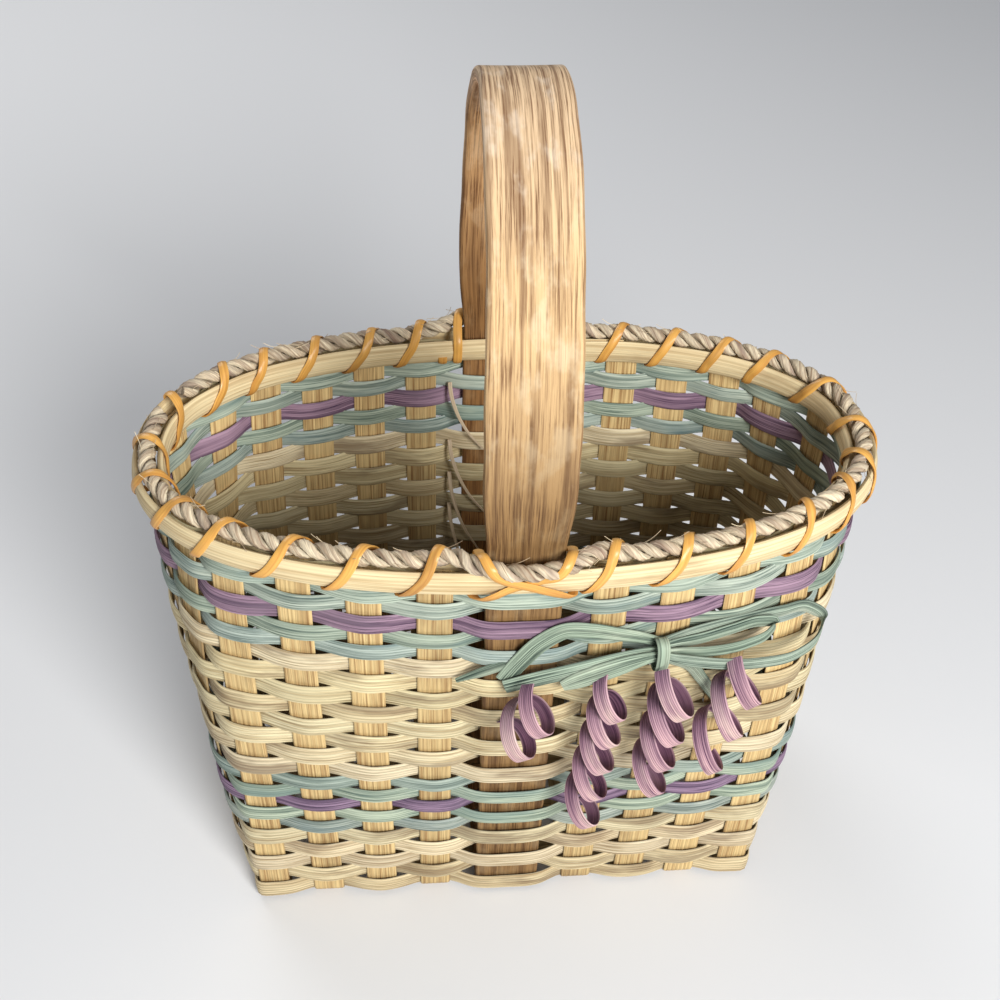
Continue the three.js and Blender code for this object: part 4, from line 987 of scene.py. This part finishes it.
# Name, whether it stands, tone, gathered ends, points and widths
RIBBON_PIECES = (
    ("bow_right_outer_loop", True, (1, 1, 1), (0, 1),
     [(0.6, 0, 6.0), (8, -1, 8.6), (22.5, -4, 11.6), (43, -7, 14.6), (61, -8.5, 14.6),
      (72.5, -6.5, 11.2), (76.5, -2.5, 6.2), (72.5, 2.5, 1.6), (59, 5.5, 0.6), (39, 7, 0.4),
      (20.5, 6.5, 0.6), (8, 4.8, 1.3), (0.6, 4, 1.8)],
     [7.5] * 13),
    ("bow_right_inner_loop", True, (0.92, 0.96, 0.93), (0, 1),
     [(0.6, 1, 5.0), (8, 1, 6.1), (22.5, -0.5, 7.4), (39, 0.5, 8.4), (49, 2.5, 7.4), (53, 5, 5.4),
      (47, 6.5, 3.5), (33.5, 5.5, 3.0), (18.5, 3.5, 3.1), (8, 3.2, 3.3), (0.6, 3, 3.6)],
     [7.2] * 11),
    ("bow_left_upper_leaf", False, (0.92, 0.95, 0.90), (0,),
     [(-0.6, 4.5, 1.0), (-8, 7.5, 0.9), (-18.5, 11.5, 1.2), (-32.5, 17, ON_LEG + 0.5),
      (-44, 19, ON_LEG + LAYER), (-53, 12.5, ON_LEG + LAYER), (-62, 0.5, ON_LEG + LAYER),
      (-69.5, -12.5, ON_LEG + LAYER)],
     [7, 7.5, 8.5, 10, 10.5, 10.5, 10, 9]),
    ("bow_left_lower_leaf", False, (0.84, 0.88, 0.85), (1,),
     [(-69.5, -14.5, ON_LEG + 3 * LAYER), (-55, -10, ON_LEG + 3 * LAYER),
      (-37.5, -5, ON_LEG + 3 * LAYER), (-20.5, -1, 5.2), (-8, 1.2, 4.6), (-0.6, 2, 4.2)],
     [9, 10, 10, 9, 7.5, 7]),
    ("bow_broad_leaf", False, (0.95, 0.98, 0.93), (1,),
     [(-43.5, -14, ON_LEG + 4 * LAYER), (-39, -12, ON_LEG + 4 * LAYER),
      (-30.5, -8.5, ON_LEG + 4 * LAYER), (-18.5, -4, 7.0), (-8, -0.6, 6.8), (-0.6, 1, 6.4)],
     [7, 10.5, 12.5, 12, 9, 7.5]),
    ("bow_left_tail", False, (0.85, 0.88, 0.84), (),
     [(-68.5, -3, ON_LEG), (-79.5, -8, ON_LEG), (-91, -13.5, ON_LEG)],
     [6.5, 6, 2.6]),
    ("bow_right_tail", False, (0.98, 1.0, 0.96), (0,),
     [(0.6, -4, 3.0), (8, -9, 2.4), (16, -14.5, 2.0), (24, -27, 1.0), (30, -38.5, 0.5), (34, -47.5, 0.3)],
     [6, 6.2, 6.4, 6, 5, 2.4]),
)
for i, (node, stands, tone, gathered, points, widths) in enumerate(RIBBON_PIECES):
    piece = ribbon(f"{node}_ribbon", points, widths, stands, 200 + 3.3 * i, tone, gathered)
    dress(piece, bow_ribbon, "bow_reed", node)


def knot_strap():
    """The strap goes once round the gathered ribbon, square to the wall, and laps at the back."""
    rows = []
    for angle in np.linspace(-0.56 * math.pi, 1.52 * math.pi, 40):
        depth = KNOT_DEPTH / 2 * np.sign(math.cos(angle)) * abs(math.cos(angle)) ** 0.75
        rise = (KNOT_HEIGHT / 2 - STRAP_INSET) * np.sign(math.sin(angle)) * abs(math.sin(angle)) ** 0.85
        lap = STRAP_LAP * (angle / math.pi)
        standing = STRAP_OFF_WALL + KNOT_DEPTH / 2 + depth * 0.93 + lap
        rows.append(front_place(KNOT_X, KNOT_Z + rise, standing)[0])
    route = smooth_route(rows, spacing=0.001)
    _, out = front_place(KNOT_X, KNOT_Z, 0.0)
    along = np.array([-out[1], out[0], 0.0])
    across = np.tile(along, (len(route), 1))
    outline = reed_profile(STRAP_WIDTH, STRAP_THICKNESS,
                           crown=0.00012, ribs=STRAP_RIBS, rib_depth=0.00018)
    # Painted shade in the grooves between the ribs
    tone = rib_groove_shade(STRAP_RIBS, 0.4) * np.array([0.78, 0.82, 0.78])
    return strip("bow_knot_strap", route, across, outline, 230, tone)


dress(knot_strap(), bow_ribbon, "bow_reed", "bow_knot")


# Curls
# Strips of reed dyed purple and pink and wound like corkscrews, which hang from the bow down the weave.
# Their turns are tilted down to the right. The back and the inside of each turn are darkened with painted
# shade, the front is painted lighter, and the edges of the strip carry a painted highlight.
CURL_WIDTH = 0.008
CURL_TILT = math.radians(52)
CURL_TURN = math.radians(18)
CURL_RINGS = 40
CURL_RIBS = 8
OFF_STAKE = 0.0026
OFF_LEG = 0.0045
LEG_SIDE = 30.5
curl_reed = reed_material("curl_reed", pale=(216, 178, 184), deep=(96, 56, 90), stain=(238, 216, 200),
                          streaks=1.0, bands=0.6, stains=0.55, across=1200.0, along=16.0)


def curl(name, x, z, lean, extra, turns, pitch, size, grain_start):
    """A corkscrew whose turns just clear the weave. Turns are counted from where one lies against the wall
    at the height z. Pitch and size, the diameter of a turn, run from the top to the end, in mm."""
    lean = math.radians(lean)
    room = CURL_WIDTH / 2 * math.sin(CURL_TILT) * math.sin(CURL_TURN) + RIBBON_THICKNESS / 2 + extra / 1000
    rows, radials, tones = [], [], []
    outline = reed_profile(CURL_WIDTH, RIBBON_THICKNESS,
                           crown=0.0001, ribs=CURL_RIBS, rib_depth=0.00022)
    # Painted shade in the grooves between the ribs
    groove_shade = rib_groove_shade(CURL_RIBS, 0.48)
    edge = np.clip((np.abs(outline[:, 0]) / (CURL_WIDTH / 2) - 0.78) / 0.15, 0, 1)[:, None]
    inside = on_back(outline)[:, None]
    for turned in np.linspace(turns[0], turns[1], int((turns[1] - turns[0]) * CURL_RINGS)):
        share = turned / turns[1]
        radius = (size[0] + (size[1] - size[0]) * share - 1000 * RIBBON_THICKNESS) / 2000
        drop = turned * (pitch[0] + (pitch[1] - pitch[0]) * share / 2) / 1000
        reach = OFF_LEG if abs(x) < LEG_SIDE else OFF_STAKE
        standing = reach + CLEARANCE + room + radius * math.cos(CURL_TURN)
        place = (x / 1000 + drop * math.sin(lean), z / 1000 - drop * math.cos(lean))
        axis, out = front_place(*place, standing)
        along = np.array([-out[1], out[0], 0.0])
        side = along * math.cos(CURL_TURN) + out * math.sin(CURL_TURN)
        face = np.array([side[1], -side[0], 0.0])
        across = side * math.cos(CURL_TILT) - np.array([0, 0, math.sin(CURL_TILT)])
        angle = 2 * math.pi * turned
        radial = -across * math.sin(angle) - face * math.cos(angle)
        rows.append(axis + radial * radius)
        radials.append(radial)
        # Painted light and shade over the purple and pink dye: the outer face is lighter and pinker at the
        # front of each turn and darker and more purple at the back, and the inner face is darkened
        front = (0.5 - 0.5 * math.cos(angle - 0.6)) ** 1.5
        outer = np.array([0.46, 0.37, 0.56]) * (1 - front) + np.array([1.14, 1.09, 1.04]) * front
        inner = np.array([0.32, 0.22, 0.33]) * (0.8 + 0.5 * front)
        skin = (outer * (1 - inside) + inner * inside) * groove_shade
        # Painted highlight along both edges of the strip
        tones.append(skin * (1 - 0.55 * edge) + np.array([1.12, 1.12, 1.06]) * 0.55 * edge)
    rows = np.array(rows)
    across = np.cross(run_of(rows), np.array(radials))
    return strip(name, rows, -across, outline, grain_start, np.array(tones))


# Name, place across and height in mm, lean in degrees, standing off in mm, turns, pitch and size
CURLS = (
    ("curl_1", 11, 190, -24, 0.0, (0.25, 2.125), (19, 19), (25, 25)),
    ("curl_2", 41, 187, -5, 0.0, (0.1, 5.0), (16, 23.5), (20, 24)),
    ("curl_3", 69, 193, -4, 0.0, (0.27, 4.0), (19, 22), (27, 23)),
    ("curl_4", 102, 194, -12, 0.3, (0.27, 2.875), (20, 27), (27, 25)),
)
for i, (node, x, z, lean, extra, turns, pitch, size) in enumerate(CURLS):
    piece = curl(f"{node}_reed", x, z, lean, extra, turns, pitch, size, 240 + 2.3 * i)
    dress(piece, curl_reed, "curl_reed", node)


# Loose ends
# Four thin ends of reed that stand off the weave inside the back wall, beside the leg of the handle.
# They hang straight at first and then bend towards the leg.

# Name, the row that it comes from, how far it drops and how far it reaches sideways, in mm
LOOSE_ENDS = (
    ("loose_reed_end_1", 22, 42, 15),
    ("loose_reed_end_2", 18, 50, 17),
    ("loose_reed_end_3", 16, 55, 14),
    ("loose_reed_end_4", 14, 44, 8),
)
# All four start this far beside the leg and this far in from the middle of the wall, in mm
FROM_LEG = 7
FROM_WALL = 3.38
# Share of the drop, how far off the weave and how wide, in mm
LOOSE_STOPS = ((0, 0, 2.2), (0.12, 2.6, 2.1), (0.35, 5, 1.9), (0.65, 6.5, 1.6), (1, 5, 1.0))
loose_reed = reed_material("loose_reed", pale=(206, 186, 156), deep=(150, 126, 100), stain=(120, 100, 84),
                           streaks=0.6, bands=0.4, stains=0.4)


def loose_end(name, row, drop, reach, grain_start):
    low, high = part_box(weaver_nodes[row - 1])
    rows = []
    for share, standing, width in LOOSE_STOPS:
        shift = LEG_WIDTH / 2 + (FROM_LEG - 1.2 * reach * share**1.7) / 1000
        height = (low.z + high.z) / 2 - drop * share / 1000
        point = wall(HALF, shift, -(FROM_WALL + standing) / 1000, height)
        rows.append([*point, width / 1000])
    route = smooth_route(rows, spacing=0.0012)
    run = run_of(route[:, :3])
    across = np.cross([0, 1.0, 0], run)
    outline = reed_profile(1.0, 0.8, crown=0.15, ribs=3, rib_depth=0.1)
    return strip(name, route[:, :3], across, widened(outline, route[:, 3]), grain_start)


for i, (node, row, drop, reach) in enumerate(LOOSE_ENDS):
    dress(loose_end(f"{node}_reed", row, drop, reach, 260 + 1.3 * i), loose_reed, "loose_reed", node)


# Floor and light
# A plain pale floor, a wide soft lamp to the right of the viewer, a weaker one behind the basket, and an
# even pale surround.
FLOOR_SIZE = 12.0
bpy.ops.mesh.primitive_plane_add(size=FLOOR_SIZE)
floor = bpy.context.object
floor.name = "floor"
floor_paint, floor_shader = new_material("floor_paint")
floor_shader.inputs["Roughness"].default_value = 0.9
floor_shader.inputs["Base Color"].default_value = linear(225, 225, 225)
floor.data.materials.append(floor_paint)


def lamp(place, size, energy):
    bpy.ops.object.light_add(type="AREA", location=place)
    light = bpy.context.object
    light.data.shape = "DISK"
    light.data.size = size
    light.data.energy = energy
    light.rotation_euler = (Vector((0, 0, 0.2)) - light.location).to_track_quat("-Z", "Y").to_euler()


lamp(place=(0.45, -1.2, 1.0), size=0.7, energy=30)
lamp(place=(-0.7, 1.2, 1.1), size=1.0, energy=10)

world = bpy.data.worlds.new("surround")
bpy.context.scene.world = world
world.use_nodes = True
world.node_tree.nodes["Background"].inputs["Color"].default_value = (0.93, 0.98, 1.08, 1)
world.node_tree.nodes["Background"].inputs["Strength"].default_value = 0.22
